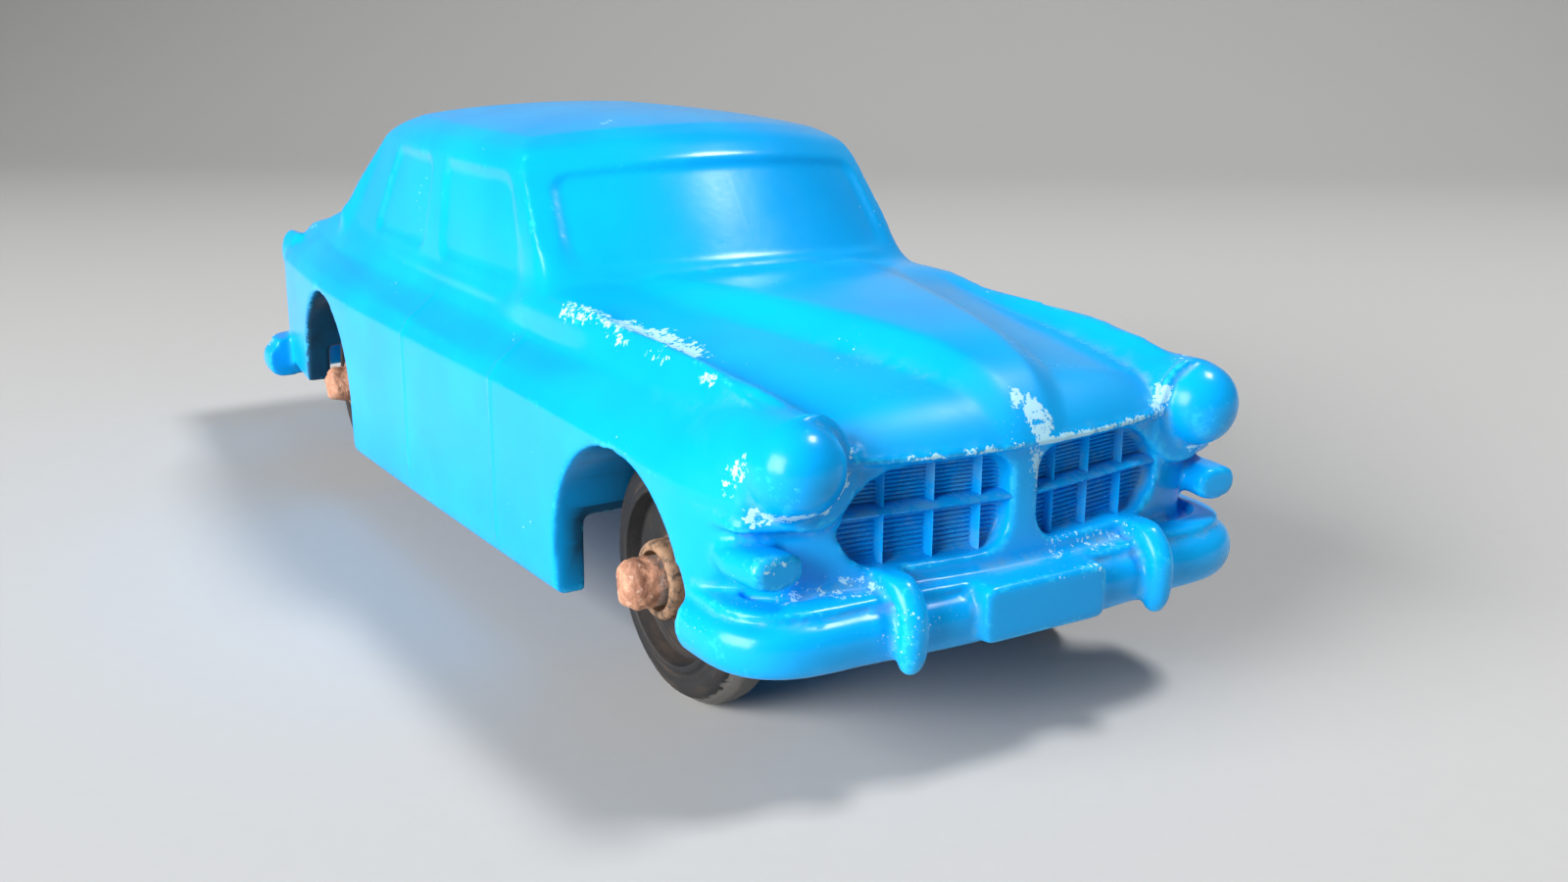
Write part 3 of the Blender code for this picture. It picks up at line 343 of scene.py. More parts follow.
# Cabin. Each line of the table is one height: windscreen middle and corner height, side and rear
# window height, reach behind the cowl at the middle and pillar, half width at front pillar, middle
# and rear pillar, reach at the rear pillar and the rear middle
cabin = {
    "heights": (
        (0.0180, 0.0180, 0.0180, 0.0180, -0.0030, -0.0005, 0.0144, 0.0146, 0.0136, -0.0020, 0.0020),
        (0.0229, 0.0224, 0.0210, 0.0228, -0.0011, 0.0029, 0.0154, 0.0154, 0.0143, -0.0027, 0.0010),
        (0.0237, 0.0233, 0.0219, 0.0238, 0.0000, 0.0042, 0.0151, 0.0151, 0.0140, -0.0042, 0.0000),
        (0.0313, 0.0302, 0.0304, 0.0304, 0.0059, 0.0096, 0.0140, 0.0141, 0.0122, -0.0118, -0.0075),
        (0.0324, 0.0314, 0.0315, 0.0313, 0.0074, 0.0107, 0.0134, 0.0135, 0.0116, -0.0136, -0.0096),
        (0.0332, 0.0323, 0.0324, 0.0321, 0.0097, 0.0127, 0.0122, 0.0123, 0.0104, -0.0162, -0.0124)),
    "roofCentre": cowl + 0.0255,
    "roofPower": 2.2,
    # each window: start and end round the cabin, and its scale in metres there
    "windows": ((-1.0, 0.9, 0.0145), (1.06, 1.42, 0.038), (1.5, 1.8, 0.038), (2.12, 4.0, 0.013)),
    "windowLevels": (2.055, 2.945),
    "windowScale": 0.0082,
    "recess": 0.00030,
    "recessEdge": 0.00045,
    "cornerRadius": 0.0013,
}


def cabinRing(values, u, inset):
    # u runs round half the cabin: windscreen 0 to 1, side 1 to 2, rear window 2 to 3
    frontZ, cornerZ, sideZ, rearZ, frontY, pillarY, pillarX, middleX, rearX, backPillarY, backY = values
    frontY, pillarY = cowl + frontY, cowl + pillarY
    backPillarY, backY = deck + backPillarY, deck + backY
    t = u - 1
    side = np.stack([mix(pillarX, rearX, t) + 4 * t * (1 - t) * (middleX - (pillarX + rearX) / 2) - inset,
                     mix(pillarY, backPillarY, t),
                     mix(mix(cornerZ, rearZ, t), sideZ, smoothStep(np.minimum(t, 1 - t), 0, 0.05))])
    screen = np.stack([(pillarX - inset) * u, mix(frontY, pillarY, u ** 2.2) + inset,
                       mix(frontZ, cornerZ, u * u)])
    r = 3 - u
    rear = np.stack([(rearX - inset) * r, mix(backY, backPillarY, np.abs(r) ** 2.2) - inset, rearZ + 0 * u])
    return np.where(u <= 1, screen, np.where(u <= 2, side, rear)).T


def cabinSolid():
    u = np.unique(np.concatenate([np.linspace(0, 1, 60), np.linspace(1, 2, 130), np.linspace(2, 3, 50)]))
    table, lines, radius = np.array(cabin["heights"]), columnCurves(cabin["heights"]), cabin["cornerRadius"]
    low, high = cabin["windowLevels"]
    rings = []
    for level in [0, 1, 1.5, *np.linspace(2, 3, 44), *np.linspace(3.1, 5, 16)]:
        if 2 <= level <= 3:
            values = mix(table[2], table[3], level - 2)  # the panes are flat
        else:
            values = [float(line(level)) for line in lines]
        inset = np.zeros(len(u))
        for start, end, scale in cabin["windows"]:
            a = np.minimum(u - start, end - u) * scale - radius
            b = min(level - low, high - level) * cabin["windowScale"] - radius
            away = np.where((a < 0) & (b < 0), radius - np.hypot(a, b), np.minimum(a, b) + radius)
            inset = np.maximum(inset, cabin["recess"] * smoothStep(away, 0.0, cabin["recessEdge"]))
        ring = cabinRing(values, u, inset)
        rings.append(np.concatenate([ring, (ring * (-1, 1, 1))[-2:0:-1]]))
    brow, crown = rings[-1], car["crown"]
    top = np.array((0, cabin["roofCentre"], crown))
    for share in [*np.linspace(0.97, 0.06, 24), 0.02]:
        ring = mix(top, brow, share)
        ring[:, 2] = crown - (crown - brow[:, 2]) * share ** cabin["roofPower"]
        rings.append(ring)
    return loft("cabin", rings)


def barAlongCar(name, centre, halfWidth, halfHeight, stations, segments=40, splay=0.0, power=1.0):
    # stations are (y, share of the full section); splay moves the root outward
    first, last = stations[0][0], stations[-1][0]
    rings = []
    for y, share in stations:
        middle = centre[0] + splay * (y - last) / (first - last)
        ring = []
        for i in range(segments):
            c, s = cos(2 * pi * i / segments), sin(2 * pi * i / segments)
            ring.append((middle + halfWidth * share * abs(c) ** power * (1 if c > 0 else -1), y,
                         centre[1] + halfHeight * share * abs(s) ** power * (1 if s > 0 else -1)))
        rings.append(ring)
    return loft(name, rings)


headlamp = {
    "offset": 0.0143,
    "height": 0.0180,
    "radius": 0.0029,
    "reach": 0.0024,
    "rim": 0.0018,
    "shift": 0.00026,
    "domeShare": 0.895,
    "segments": 56,
}


def headlampShells():
    rim, radius = nose + headlamp["rim"], headlamp["radius"]
    stations = [(frontAxle - 0.004, 0.7), (rim + 0.0045, 0.98), (rim + 0.0003, 1.0), (rim, 0.98)]
    centre = (headlamp["offset"], headlamp["height"])
    return pair(barAlongCar("headlampShells", centre, radius, radius, stations, headlamp["segments"]))


def headlampDomes():
    # the dome sits a little outward, so its step shows only towards the grille
    foot, share, radius = nose + headlamp["rim"] + 0.00015, headlamp["domeShare"], headlamp["radius"]
    stations = [(nose + headlamp["rim"] + 0.0040, 0.80), (foot, share)]
    stations += [(foot - headlamp["reach"] * sin(a), share * cos(a)) for a in np.linspace(0.08, 1.5, 16)]
    centre = (headlamp["offset"] + headlamp["shift"], headlamp["height"] + 0.0001)
    return pair(barAlongCar("headlampDomes", centre, radius, radius, stations, headlamp["segments"]))


sidelight = {
    "offset": 0.0161,
    "height": 0.0129,
    "width": 0.0031,
    "depth": 0.0021,
    "splay": 0.0010,
    "power": 0.8,
}
tailLamp = {"offset": 0.0146, "height": 0.0169, "halfWidth": 0.0011, "halfHeight": 0.0023}


def sidelights():
    s, face = sidelight, nose + 0.0011
    stations = [(face + 0.0050, 0.30), (face + 0.0040, 0.70), (face + 0.0028, 0.95), (face + 0.0014, 1.0),
                (face + 0.00005, 1.0), (face, 0.97)]
    return pair(barAlongCar("sidelights", (s["offset"], s["height"]), s["width"] / 2, s["depth"] / 2,
                            stations, splay=s["splay"], power=s["power"]))


def tailLamps():
    t, face = tailLamp, tail - 0.0004
    stations = [(face - 0.004, 1.0), (face - 0.0006, 1.0), (face - 0.0003, 0.93), (face - 0.0001, 0.75),
                (face, 0.4)]
    return pair(barAlongCar("tailLamps", (t["offset"], t["height"]), t["halfWidth"], t["halfHeight"],
                            stations))


bumper = {
    "inset": 0.0009,
    "depth": 0.0023,
    "bow": 0.0006,
    "cornerPower": 0.56,
    "section": ((-0.1, 0.0), (0.50, 0.0), (0.68, 0.00012), (0.83, 0.0004), (0.95, 0.0009), (1.0, 0.0015),
                (0.99, 0.0020), (0.92, 0.0025), (0.78, 0.00292), (0.58, 0.0031), (0.56, 0.00322),
                (0.62, 0.0034), (0.61, 0.0036), (0.53, 0.00378), (-0.1, 0.0039)),
    "front": (-1, 0.0192, frontAxle - 0.0086, 0.0069),   # facing, half width, end of its sides, lower edge
    "rear": (1, 0.0189, tail - 0.0055, 0.0050),
}


def bumperParts(facing, halfWidth, sideEnd, bottom):
    depth, power, width = bumper["depth"], bumper["cornerPower"], lowerBody["lipWidth"]
    sideX = halfWidth - depth
    root = car["length"] / 2 - bumper["inset"] - depth
    path = [(width * t, facing * (root - bumper["bow"] * t ** 2)) for t in np.linspace(0, 1, 14)]
    startY, bendY = path[-1][1], sideEnd + facing * 0.0012
    for angle in np.linspace(0, pi / 2, 26)[1:]:
        path.append((mix(width, sideX, sin(angle) ** power), mix(bendY, startY, max(cos(angle), 0) ** power)))
    path.append((sideX, sideEnd))
    path = np.array([(-x, y) for x, y in path[:0:-1]] + path)
    along = tangents(path)
    out = np.stack([-along[:, 1], along[:, 0]], 1) * facing
    rings = [[(x + ox * depth * reach, y + oy * depth * reach, bottom + height)
              for reach, height in bumper["section"]] for (x, y), (ox, oy) in zip(path, out)]
    shelf = loft("shelf", [[(x, y, z) for x, y in path] for z in (bottom + 0.0001, bottom + 0.0034)])
    return loft("bumperBar", rings), shelf


overrider = {
    "offset": 0.0091,
    "width": 0.0017,
    "thickness": 0.0015,
    "path": ((0.0036, 0.0042, 0.9), (0.0021, 0.0047, 1.0), (0.0009, 0.0041, 1.0), (0.0, 0.0027, 1.0),
             (0.0001, 0.0010, 1.0), (0.0003, 0.0001, 0.85), (0.0005, -0.0003, 0.5)),
}


def overriders(facing, bottom):
    half = overrider["thickness"] / 2
    station = np.linspace(0, len(overrider["path"]) - 1, 26)
    reach, height, share = (line(station) for line in columnCurves(overrider["path"]))
    path = soften(np.stack([facing * (car["length"] / 2 - half - reach), bottom + height], 1), 2)
    rings = []
    for (y, z), (ay, az), size in zip(path, tangents(path), share):
        ring = []
        for angle in fullTurn(28):
            rise, x = half * size * sin(angle), overrider["width"] / 2 * size * cos(angle) * 1.04
            ring.append((overrider["offset"] + x, y - az * rise, z + ay * rise))
        rings.append(ring)
    return pair(loft("overriders", rings))


plate = {"width": 0.0090, "bottom": 0.0073, "top": 0.0107, "proud": 0.0006, "corner": 0.0007}


def numberPlate():
    low, high, half = plate["bottom"], plate["top"], plate["width"] / 2
    face = -car["length"] / 2 + bumper["inset"] - plate["proud"]
    outline = roundedOutline((-half, half), (low, high), (plate["corner"],) * 4)
    return loft("plate", [[(x * share, y, mix((low + high) / 2, z, share)) for x, z in outline]
                          for y, share in ((face + 0.0023, 1.0), (face + 0.00015, 1.0), (face, 0.98))])


grille = {
    "inner": 0.0010,
    "outer": 0.0118,
    "bottom": 0.0118,
    "top": 0.0174,
    "corners": (0.0026, 0.0040, 0.0014, 0.0018),   # outer bottom, outer top, inner top, inner bottom
    "depth": 0.0013,
    "uprights": (0.0027, 0.0057, 0.0088),
    "uprightWidth": 0.00024,
    "uprightRelief": 0.00080,
    "rail": 0.0148,
    "railWidth": 0.00066,
    "railRelief": 0.0012,
    "fins": 9,
    "finWidth": 0.00021,
    "finRelief": 0.00020,
    "overlap": 0.0006,       # how far the bars run into the moulding
    "dust": 0.55,
}


def grillePlane(x):
    # the flat face behind the openings, from their inner to their outer ends
    inner, outer = grille["inner"], grille["outer"]
    return lowerBody["lipOverhang"] + mix(nosePlan(inner), nosePlan(outer), (x - inner) / (outer - inner))


def grilleCutters():
    g = grille
    outline = roundedOutline((g["inner"], g["outer"]), (g["bottom"], g["top"]), g["corners"])
    return pair(loft("grilleCutters", [[(x, nose - 0.001, z) for x, z in outline],
                                       [(x, grillePlane(x) + g["depth"], z) for x, z in outline]]))


def wheelWells(axleY):
    radius = lowerBody["archRadius"]
    outline = arc((axleY, car["axleHeight"]), radius, np.linspace(pi, 0, 49))
    outline = [(axleY - radius, -0.001), *outline, (axleY + radius, -0.001)]
    return pair(prism("wells", outline, (lowerBody["wellInner"], car["halfWidth"] + 0.002)))


lug = {"width": 0.0032, "step": 0.0001, "radius": 0.0022, "bore": 0.0013, "mouth": 0.0015}
drain = {"radius": 0.0015, "length": 0.0021, "chamberRadius": 0.0075, "chamber": (0.0022, 0.0080)}


def axleLugs(axleY):
    root, outer = lowerBody["pan"] + 0.0003, lowerBody["wellInner"] - lug["step"]
    outline = arc((axleY, car["axleHeight"]), lug["radius"], np.linspace(0, -pi, 25))
    outline = [(axleY + lug["radius"], root), *outline, (axleY - lug["radius"], root)]
    return pair(prism("lugs", outline, (outer - lug["width"], outer)))


def lugKeyhole(axleY):
    half, height = lug["mouth"] / 2, car["axleHeight"]
    mouth, foot = acos(half / lug["bore"]), height - 2 * lug["radius"]
    outline = [(axleY - half, foot), (axleY + half, foot)]
    outline += arc((axleY, height), lug["bore"], np.linspace(-mouth, pi + mouth, 40))
    reach = lowerBody["wellInner"] + 0.0003
    return prism("keyhole", outline, (-reach, reach))


def drainHole():
    # the hole opens into the moulding's own hollow
    pan, (low, high) = lowerBody["pan"], drain["chamber"]
    levels = [(pan + z, drain["radius"]) for z in (-0.0005, drain["length"])]
    levels += [(pan + z, drain["chamberRadius"]) for z in (low, high)]
    return loft("drainHole", [[(x, y, z) for x, y in arc((0, cabin["roofCentre"]), size, fullTurn(40))]
                              for z, size in levels])


moulding = {"voxel": 0.00022, "quickVoxel": 0.00045, "smoothing": 4, "triangles": 190000}


def bodySolids():
    lb, front, rear, wide = lowerBody, bumper["front"], bumper["rear"], car["halfWidth"] * 2
    levels = np.concatenate([
        np.linspace(0.0043, 0.0055, 9), np.linspace(0.0056, 0.0144, 26), [0.0145, 0.0146],
        np.linspace(0.0148, 0.0177, 20), [0.0178, 0.0179], np.linspace(0.01805, 0.0234, 44), [0.026]])
    recess = mirrored(planHalf(lb["pan"], lb["wall"]))
    bumperBars, shelves = zip(bumperParts(*front), bumperParts(*rear))
    ahead, behind = frontAxle - lb["archRadius"], rearAxle + lb["archRadius"]
    undercuts = (block("front", (-wide, wide), (-0.1, ahead), (-0.001, lb["frontSkirt"])),
                 block("rear", (-wide, wide), (behind, 0.1), (-0.001, lb["rearSkirt"])))
    return planSolid(levels), (
        ("INTERSECT", topSolid()),
        ("UNION", cabinSolid()),
        ("UNION", headlampShells()),
        ("UNION", headlampDomes()),
        ("UNION", merge("smallLamps", sidelights(), tailLamps())),
        ("DIFFERENCE", merge("undercuts", *undercuts)),
        ("UNION", merge("bumperBars", *bumperBars)),
        ("UNION", merge("bumperShelves", *shelves)),
        ("UNION", numberPlate()),
        ("UNION", merge("overridersBoth", overriders(-1, front[3]), overriders(1, rear[3]))),
        ("DIFFERENCE", merge("bigHollows", grilleCutters(), wheelWells(frontAxle), wheelWells(rearAxle))),
        ("DIFFERENCE", loft("underside", [[(x, y, z) for x, y in recess] for z in (-0.001, lb["pan"])])),
        ("UNION", merge("allLugs", axleLugs(frontAxle), axleLugs(rearAxle))),
        ("DIFFERENCE", merge("smallHollows", lugKeyhole(frontAxle), lugKeyhole(rearAxle), drainHole())),
    )


def buildMoulding():
    # the solids are added and cut in turn, then remeshed evenly, which leaves the soft edges of vinyl
    body, steps = bodySolids()
    for operation, tool in steps:
        modifier = body.modifiers.new("cut", "BOOLEAN")
        modifier.operation = operation
        modifier.solver = "MANIFOLD"
        modifier.object = tool
        evaluated(body)
        bpy.data.objects.remove(tool)
    remesh = body.modifiers.new("even", "REMESH")
    remesh.mode = "VOXEL"
    remesh.voxel_size = moulding["voxel"]
    remesh.use_smooth_shade = True
    return evaluated(body)


def readRows(items, name, width, kind=float):
    values = np.empty(len(items) * width, kind)
    items.foreach_get(name, values)
    return values.reshape(-1, width)


def points(obj):
    return readRows(obj.data.vertices, "co", 3)


def vertexNormals(obj):
    return readRows(obj.data.vertex_normals, "vector", 3)


def writePoints(obj, co):
    obj.data.vertices.foreach_set("co", co.ravel())
    obj.data.update()


def neighbourMean(values, edges, degree):
    (a, b), count = edges.T, len(values)
    total = [np.bincount(a, weights=v[b], minlength=count) + np.bincount(b, weights=v[a], minlength=count)
             for v in values.T]
    return np.stack(total, 1) / degree[:, None]


def relax(co, edges, degree, weight, rounds):
    for _ in range(rounds):
        co = co + (neighbourMean(co, edges, degree) - co) * weight[:, None]
    return co


def storeValue(obj, name, values):
    attribute = obj.data.attributes.new(name, "FLOAT", "POINT")
    attribute.data.foreach_set("value", values.astype(np.float32))


# Softer places of the moulding: (low corner, high corner) in mm, extra smoothing rounds there
softPlaces = (
    (((12.0, -21.5, 20.4), (17.5, -11.0, 25.0)), 40),    # foot of the front pillar
    (((12.0, 27.0, 20.4), (17.5, 37.0, 25.0)), 30),      # foot of the rear pillar
    (((15.6, -46.4, 16.8), (19.0, -36.0, 22.6)), 50),    # headlamp shell into the wing
    (((12.5, -45.0, 18.6), (16.0, -39.0, 22.6)), 20),
)

# Fine relief pushed in or out along the surface, height and width in metres. The door lines stand up
doorLines = {
    "stations": (cowl + 0.0052, cowl + 0.0233),
    "out": 0.00010,
    "width": 0.00022,
    "foot": (0.0048, 0.0060),
    "head": (0.0206, 0.0190),
}
# parting line along each wing
wingLine = {"offset": 0.0147, "out": 0.00008, "width": 0.00013, "wander": 0.0002, "above": (0.0200, 0.0207)}
# rim round each headlamp's dome, with a groove before it
lampRing = {
    "out": 0.00028,
    "groove": 0.00012,
    "width": 0.00022,
    "inner": (0.0018, 0.0024),
    "outer": (0.0040, 0.0035),
}
# the wing's edge under the headlamp, the bonnet's lip over the grille and the crease along the side
shelfEdge = {"height": 0.0149, "out": 0.00020, "under": 0.00020, "drop": 0.0006, "width": 0.0003}
lipEdge = {"height": 0.0180, "out": 0.00018, "width": 0.00022}
waistCrease = {"height": 0.0170, "out": 0.00006, "width": 0.0004, "rise": 0.0004, "run": 0.01}


def inPlace(co, low, high, edge=1.2):
    # 1 inside the box on either side of the car, fading out over its edge, in mm
    p = np.abs(co * (1000, 0, 0)) + co * (0, 1000, 1000)
    weight = np.ones(len(co))
    for axis in range(3):
        weight *= smoothStep(p[:, axis], low[axis] - edge, low[axis] + edge)
        weight *= smoothStep(p[:, axis], high[axis] + edge, high[axis] - edge)
    return weight


def fineRelief(co, normals):
    # how far each point is pushed out along its normal
    x, y, z = np.abs(co[:, 0]), co[:, 1], co[:, 2]
    push = np.zeros(len(co))
    side = smoothStep(np.abs(normals[:, 0]), 0.25, 0.6) * smoothStep(x, 0.0120, 0.0140)
    d, w, r, s = doorLines, wingLine, lampRing, shelfEdge
    for station in d["stations"]:
        line = d["out"] * bump(y, station, d["width"]) * side
        push += line * smoothStep(z, *d["foot"]) * smoothStep(z, *d["head"])
    line = w["offset"] + w["wander"] * np.sin(y * 240)
    onWing = smoothStep(y, cowl - 0.002, cowl - 0.009) * smoothStep(y, nose + 0.0045, nose + 0.0065)
    push += w["out"] * bump(x, line, w["width"]) * (onWing * smoothStep(z, *w["above"]))
    # the rim is strongest towards the grille
    fromLamp, rim = np.hypot(x - headlamp["offset"], z - headlamp["height"]), nose + headlamp["rim"]
    onRim = smoothStep(fromLamp, *r["inner"]) * smoothStep(fromLamp, *r["outer"])
    onRim *= smoothStep(x, headlamp["offset"] + 0.0008, headlamp["offset"] - 0.0012)
    push += onRim * (r["out"] * bump(y, rim + 0.0003, r["width"])
                     - r["groove"] * bump(y, rim - 0.0001, r["width"]))
    corner = smoothStep(x, 0.0128, 0.0142) * smoothStep(y, nose + 0.0062, nose + 0.0040)
    push += corner * (s["out"] * bump(z, s["height"], s["width"])
                      - s["under"] * bump(z, s["height"] - s["drop"], s["width"]))
    lip = smoothStep(x, 0.0120, 0.0112) * smoothStep(y, nose + 0.0030, nose + 0.0022)
    push += lipEdge["out"] * lip * bump(z, lipEdge["height"], lipEdge["width"])
    c = waistCrease
    return push + c["out"] * bump(z - c["rise"] * (y - cowl) / c["run"], c["height"], c["width"]) * side


def refineMoulding(body):
    co, edges = points(body), readRows(body.data.edges, "vertices", 2, int)
    degree = np.bincount(edges.ravel(), minlength=len(co))
    co = relax(co, edges, degree, np.full(len(co), 0.5), moulding["smoothing"])
    for (low, high), rounds in softPlaces:
        co = relax(co, edges, degree, 0.5 * inPlace(co, low, high), rounds)
    writePoints(body, co)
    normals = vertexNormals(body)
    co = co + normals * fineRelief(co, normals)[:, None]
    writePoints(body, co)
    # how far a point stands out of its surroundings or lies in a corner
    bend = co
    for _ in range(3):
        bend = neighbourMean(bend, edges, degree)
    stands = ((co - bend) * normals).sum(1) * 1000 / 0.05
    x, y, z = np.abs(co[:, 0]), co[:, 1], co[:, 2]
    arch, lip = lowerBody["archRadius"], lowerBody["lipHeight"]
    nearest = np.minimum(*(np.hypot(y - axleY, z - car["axleHeight"]) for axleY in (frontAxle, rearAxle)))
    # inside the wheel wells, where the material paints shade
    well = smoothStep(x, 0.0182, 0.0172) * smoothStep(x, 0.0098, 0.0103)
    handled = smoothStep(y, nose + 0.0050, nose + 0.0030) * smoothStep(x, 0.0130, 0.0110)
    storeValue(body, "edge", np.clip(stands, 0, 1))
    storeValue(body, "corner", np.clip(-stands, 0, 1))
    # worn strokes, and along the bonnet's lip a painted highlight
    storeValue(body, "scuffAndLipHighlight", scuffAndLipHighlightMask(co))
    storeValue(body, "front", smoothStep(y, -0.030, -0.045))
    storeValue(body, "well", well * smoothStep(nearest, arch + 0.0006, arch + 0.0002))
    storeValue(body, "handled", handled * smoothStep(z, lip + 0.0004, lip + 0.0009))


# Rubbed and chipped strokes, and along the bonnet's lip a painted highlight as well: from and to (x, y, z in
# mm over the base line), radius in mm, strength
scuffsAndLipHighlight = (
    ((-15.6, -21.0, 22.5), (-14.6, -25.6, 22.4), 0.9, 0.62),      # near wing's crest
    ((-14.0, -26.4, 22.2), (-13.0, -29.6, 21.9), 1.3, 0.84),
    ((-13.0, -29.6, 21.9), (-12.5, -32.8, 21.5), 1.0, 0.80),
    ((-15.1, -27.6, 21.6), (-15.1, -28.2, 21.5), 0.6, 0.55),
    ((-15.0, -33.2, 21.6), (-14.9, -34.0, 21.5), 0.7, 0.55),
    ((-15.0, -38.8, 21.2), (-14.8, -39.4, 21.2), 0.5, 0.60),
    ((-17.2, -46.2, 18.4), (-17.2, -45.4, 17.2), 0.8, 0.50),      # near headlamp's shelf
    ((-16.5, -46.6, 15.6), (-14.9, -48.9, 15.8), 0.7, 0.85),
    ((-14.9, -49.0, 15.6), (-12.6, -48.6, 15.5), 0.45, 0.70),
    ((-13.0, -47.9, 15.7), (-11.6, -47.7, 17.2), 0.35, 0.85),
    ((-11.6, -47.7, 17.2), (-11.3, -47.6, 18.6), 0.3, 0.80),
    ((-11.3, -47.4, 18.8), (-12.6, -46.8, 20.7), 0.35, 0.70),
    ((-0.4, -48.8, 20.6), (0.6, -49.3, 18.9), 0.9, 0.85),         # bonnet's lip: worn white, partly a painted highlight along its edge
    ((0.4, -49.8, 17.9), (4.0, -49.7, 17.9), 0.5, 1.00),
    ((4.0, -49.7, 18.0), (11.4, -48.4, 18.0), 0.4, 1.00),
    ((-10.8, -48.5, 18.0), (-1.0, -49.7, 18.0), 0.25, 0.60),
    ((0.6, -49.2, 17.6), (0.9, -49.0, 16.0), 0.6, 0.70),
    ((11.0, -47.9, 18.2), (12.0, -47.4, 19.2), 0.7, 0.80),
    ((14.0, -46.8, 20.4), (14.6, -46.4, 20.6), 0.8, 0.45),        # far headlamp's corner
    ((16.6, -47.0, 16.0), (12.8, -48.6, 15.2), 0.5, 0.70),
    ((12.4, -48.2, 12.6), (12.8, -48.0, 11.8), 0.6, 0.60),
    ((2.0, -49.2, 11.3), (8.6, -48.8, 11.3), 0.9, 0.30),          # bumper, plate and sidelights
    ((-17.2, -48.4, 13.6), (-16.0, -49.0, 13.4), 0.6, 0.40),
    ((-14.8, -47.0, 10.9), (-9.6, -48.4, 10.9), 0.9, 0.40),
    ((-1.0, -51.2, 10.7), (4.0, -51.2, 10.7), 0.6, 0.40),
    ((1.8, -51.4, 8.9), (1.8, -51.4, 8.6), 0.3, 0.80),
    ((15.1, 18.6, 22.3), (15.1, 21.4, 22.3), 0.7, 0.40),          # tail
    ((-14.2, 42.0, 20.6), (-13.8, 46.0, 20.2), 0.7, 0.50),
    ((9.1, 51.6, 9.4), (9.1, 51.6, 7.8), 0.8, 0.45),
    ((-9.1, 51.6, 9.4), (-9.1, 51.6, 7.8), 0.8, 0.45),
    ((-17.6, 46.4, 8.4), (-17.4, 47.8, 8.3), 1.0, 0.45),
    ((-6.2, -8.4, 33.2), (-5.6, -7.2, 33.3), 0.7, 0.40),          # roof
)


def scuffAndLipHighlightMask(co):
    mask = np.zeros(len(co))
    for start, end, radius, strength in scuffsAndLipHighlight:
        start, stroke = np.array(start), np.array(end) - np.array(start)
        along = np.clip(((co * 1000 - start) @ stroke) / (stroke @ stroke), 0, 1)
        away = np.linalg.norm(co * 1000 - start - along[:, None] * stroke, axis=1)
        mask = np.maximum(mask, strength * smoothStep(away, radius * 1.5, radius * 0.3))
    return mask


def thin(obj, triangles):
    now = sum(len(p.vertices) - 2 for p in obj.data.polygons)
    if now > triangles:
        modifier = obj.modifiers.new("thin", "DECIMATE")
        modifier.ratio = triangles / now
        modifier.use_collapse_triangulate = True
        evaluated(obj)


def finish(obj, material, sharp=None):
    obj.data.materials.clear()
    obj.data.materials.append(material)
    obj.data.shade_smooth()
    if sharp:
        obj.data.set_sharp_from_angle(angle=sharp)
    return obj


# Nodes
def node(tree, kind, inputs=None, **settings):
    # inputs are values, or sockets to link from
    made = tree.nodes.new(kind)
    for name, value in settings.items():
        setattr(made, name, value)
    for name, value in (inputs or {}).items():
        if isinstance(value, bpy.types.NodeSocket):
            tree.links.new(value, made.inputs[name])
        else:
            made.inputs[name].default_value = value
    return made


def newGroup(name, kind, inputs, outputs):
    tree = bpy.data.node_groups.new(name, kind)
    for label, socketKind, value in inputs:
        socket = tree.interface.new_socket(label, in_out="INPUT", socket_type="NodeSocket" + socketKind)
        if value is not None:
            socket.default_value = value
    for label, socketKind in outputs:
        tree.interface.new_socket(label, in_out="OUTPUT", socket_type="NodeSocket" + socketKind)
    return tree, node(tree, "NodeGroupInput").outputs


# Grille bars, repeated by one Geometry Nodes tree
def barsTree():
    tree, source = newGroup("repeatedBars", "GeometryNodeTree", (
        ("Geometry", "Geometry", None), ("Count", "Int", 7), ("First", "Vector", (0, 0, 0)),
        ("Step", "Vector", (0, 0, 0.0004)), ("Turn", "Vector", (0, 0, 0)), ("Width", "Float", 0.0002),
        ("Relief", "Float", 0.0004), ("Length", "Float", 0.01), ("Material", "Material", None)),
        (("Geometry", "Geometry"),))
    line = node(tree, "GeometryNodeMeshLine", {
        "Count": source["Count"], "Start Location": source["First"], "Offset": source["Step"]})
    bar = node(tree, "GeometryNodeMeshCylinder", {"Vertices": 12, "Radius": 0.5, "Depth": 1.0})
    double = node(tree, "ShaderNodeMath", {0: source["Relief"], 1: 2.0}, operation="MULTIPLY")
    size = node(tree, "ShaderNodeCombineXYZ", {
        "X": source["Width"], "Y": double.outputs[0], "Z": source["Length"]})
    place = node(tree, "GeometryNodeInstanceOnPoints", {
        "Points": line.outputs["Mesh"], "Instance": bar.outputs["Mesh"], "Rotation": source["Turn"],
        "Scale": size.outputs["Vector"]})
    real = node(tree, "GeometryNodeRealizeInstances", {"Geometry": place.outputs["Instances"]})
    paint = node(tree, "GeometryNodeSetMaterial", {
        "Geometry": real.outputs["Geometry"], "Material": source["Material"]})
    node(tree, "NodeGroupOutput", {"Geometry": paint.outputs["Geometry"]})
    return tree


def repeated(tree, **inputs):
    obj = newObject("bars", [(0, 0, 0)], [])
    modifier = obj.modifiers.new("bars", "NODES")
    modifier.node_group = tree
    for item in tree.interface.items_tree:
        if item.in_out == "INPUT" and item.name in inputs:
            modifier[item.identifier] = inputs[item.name]
    return evaluated(obj)


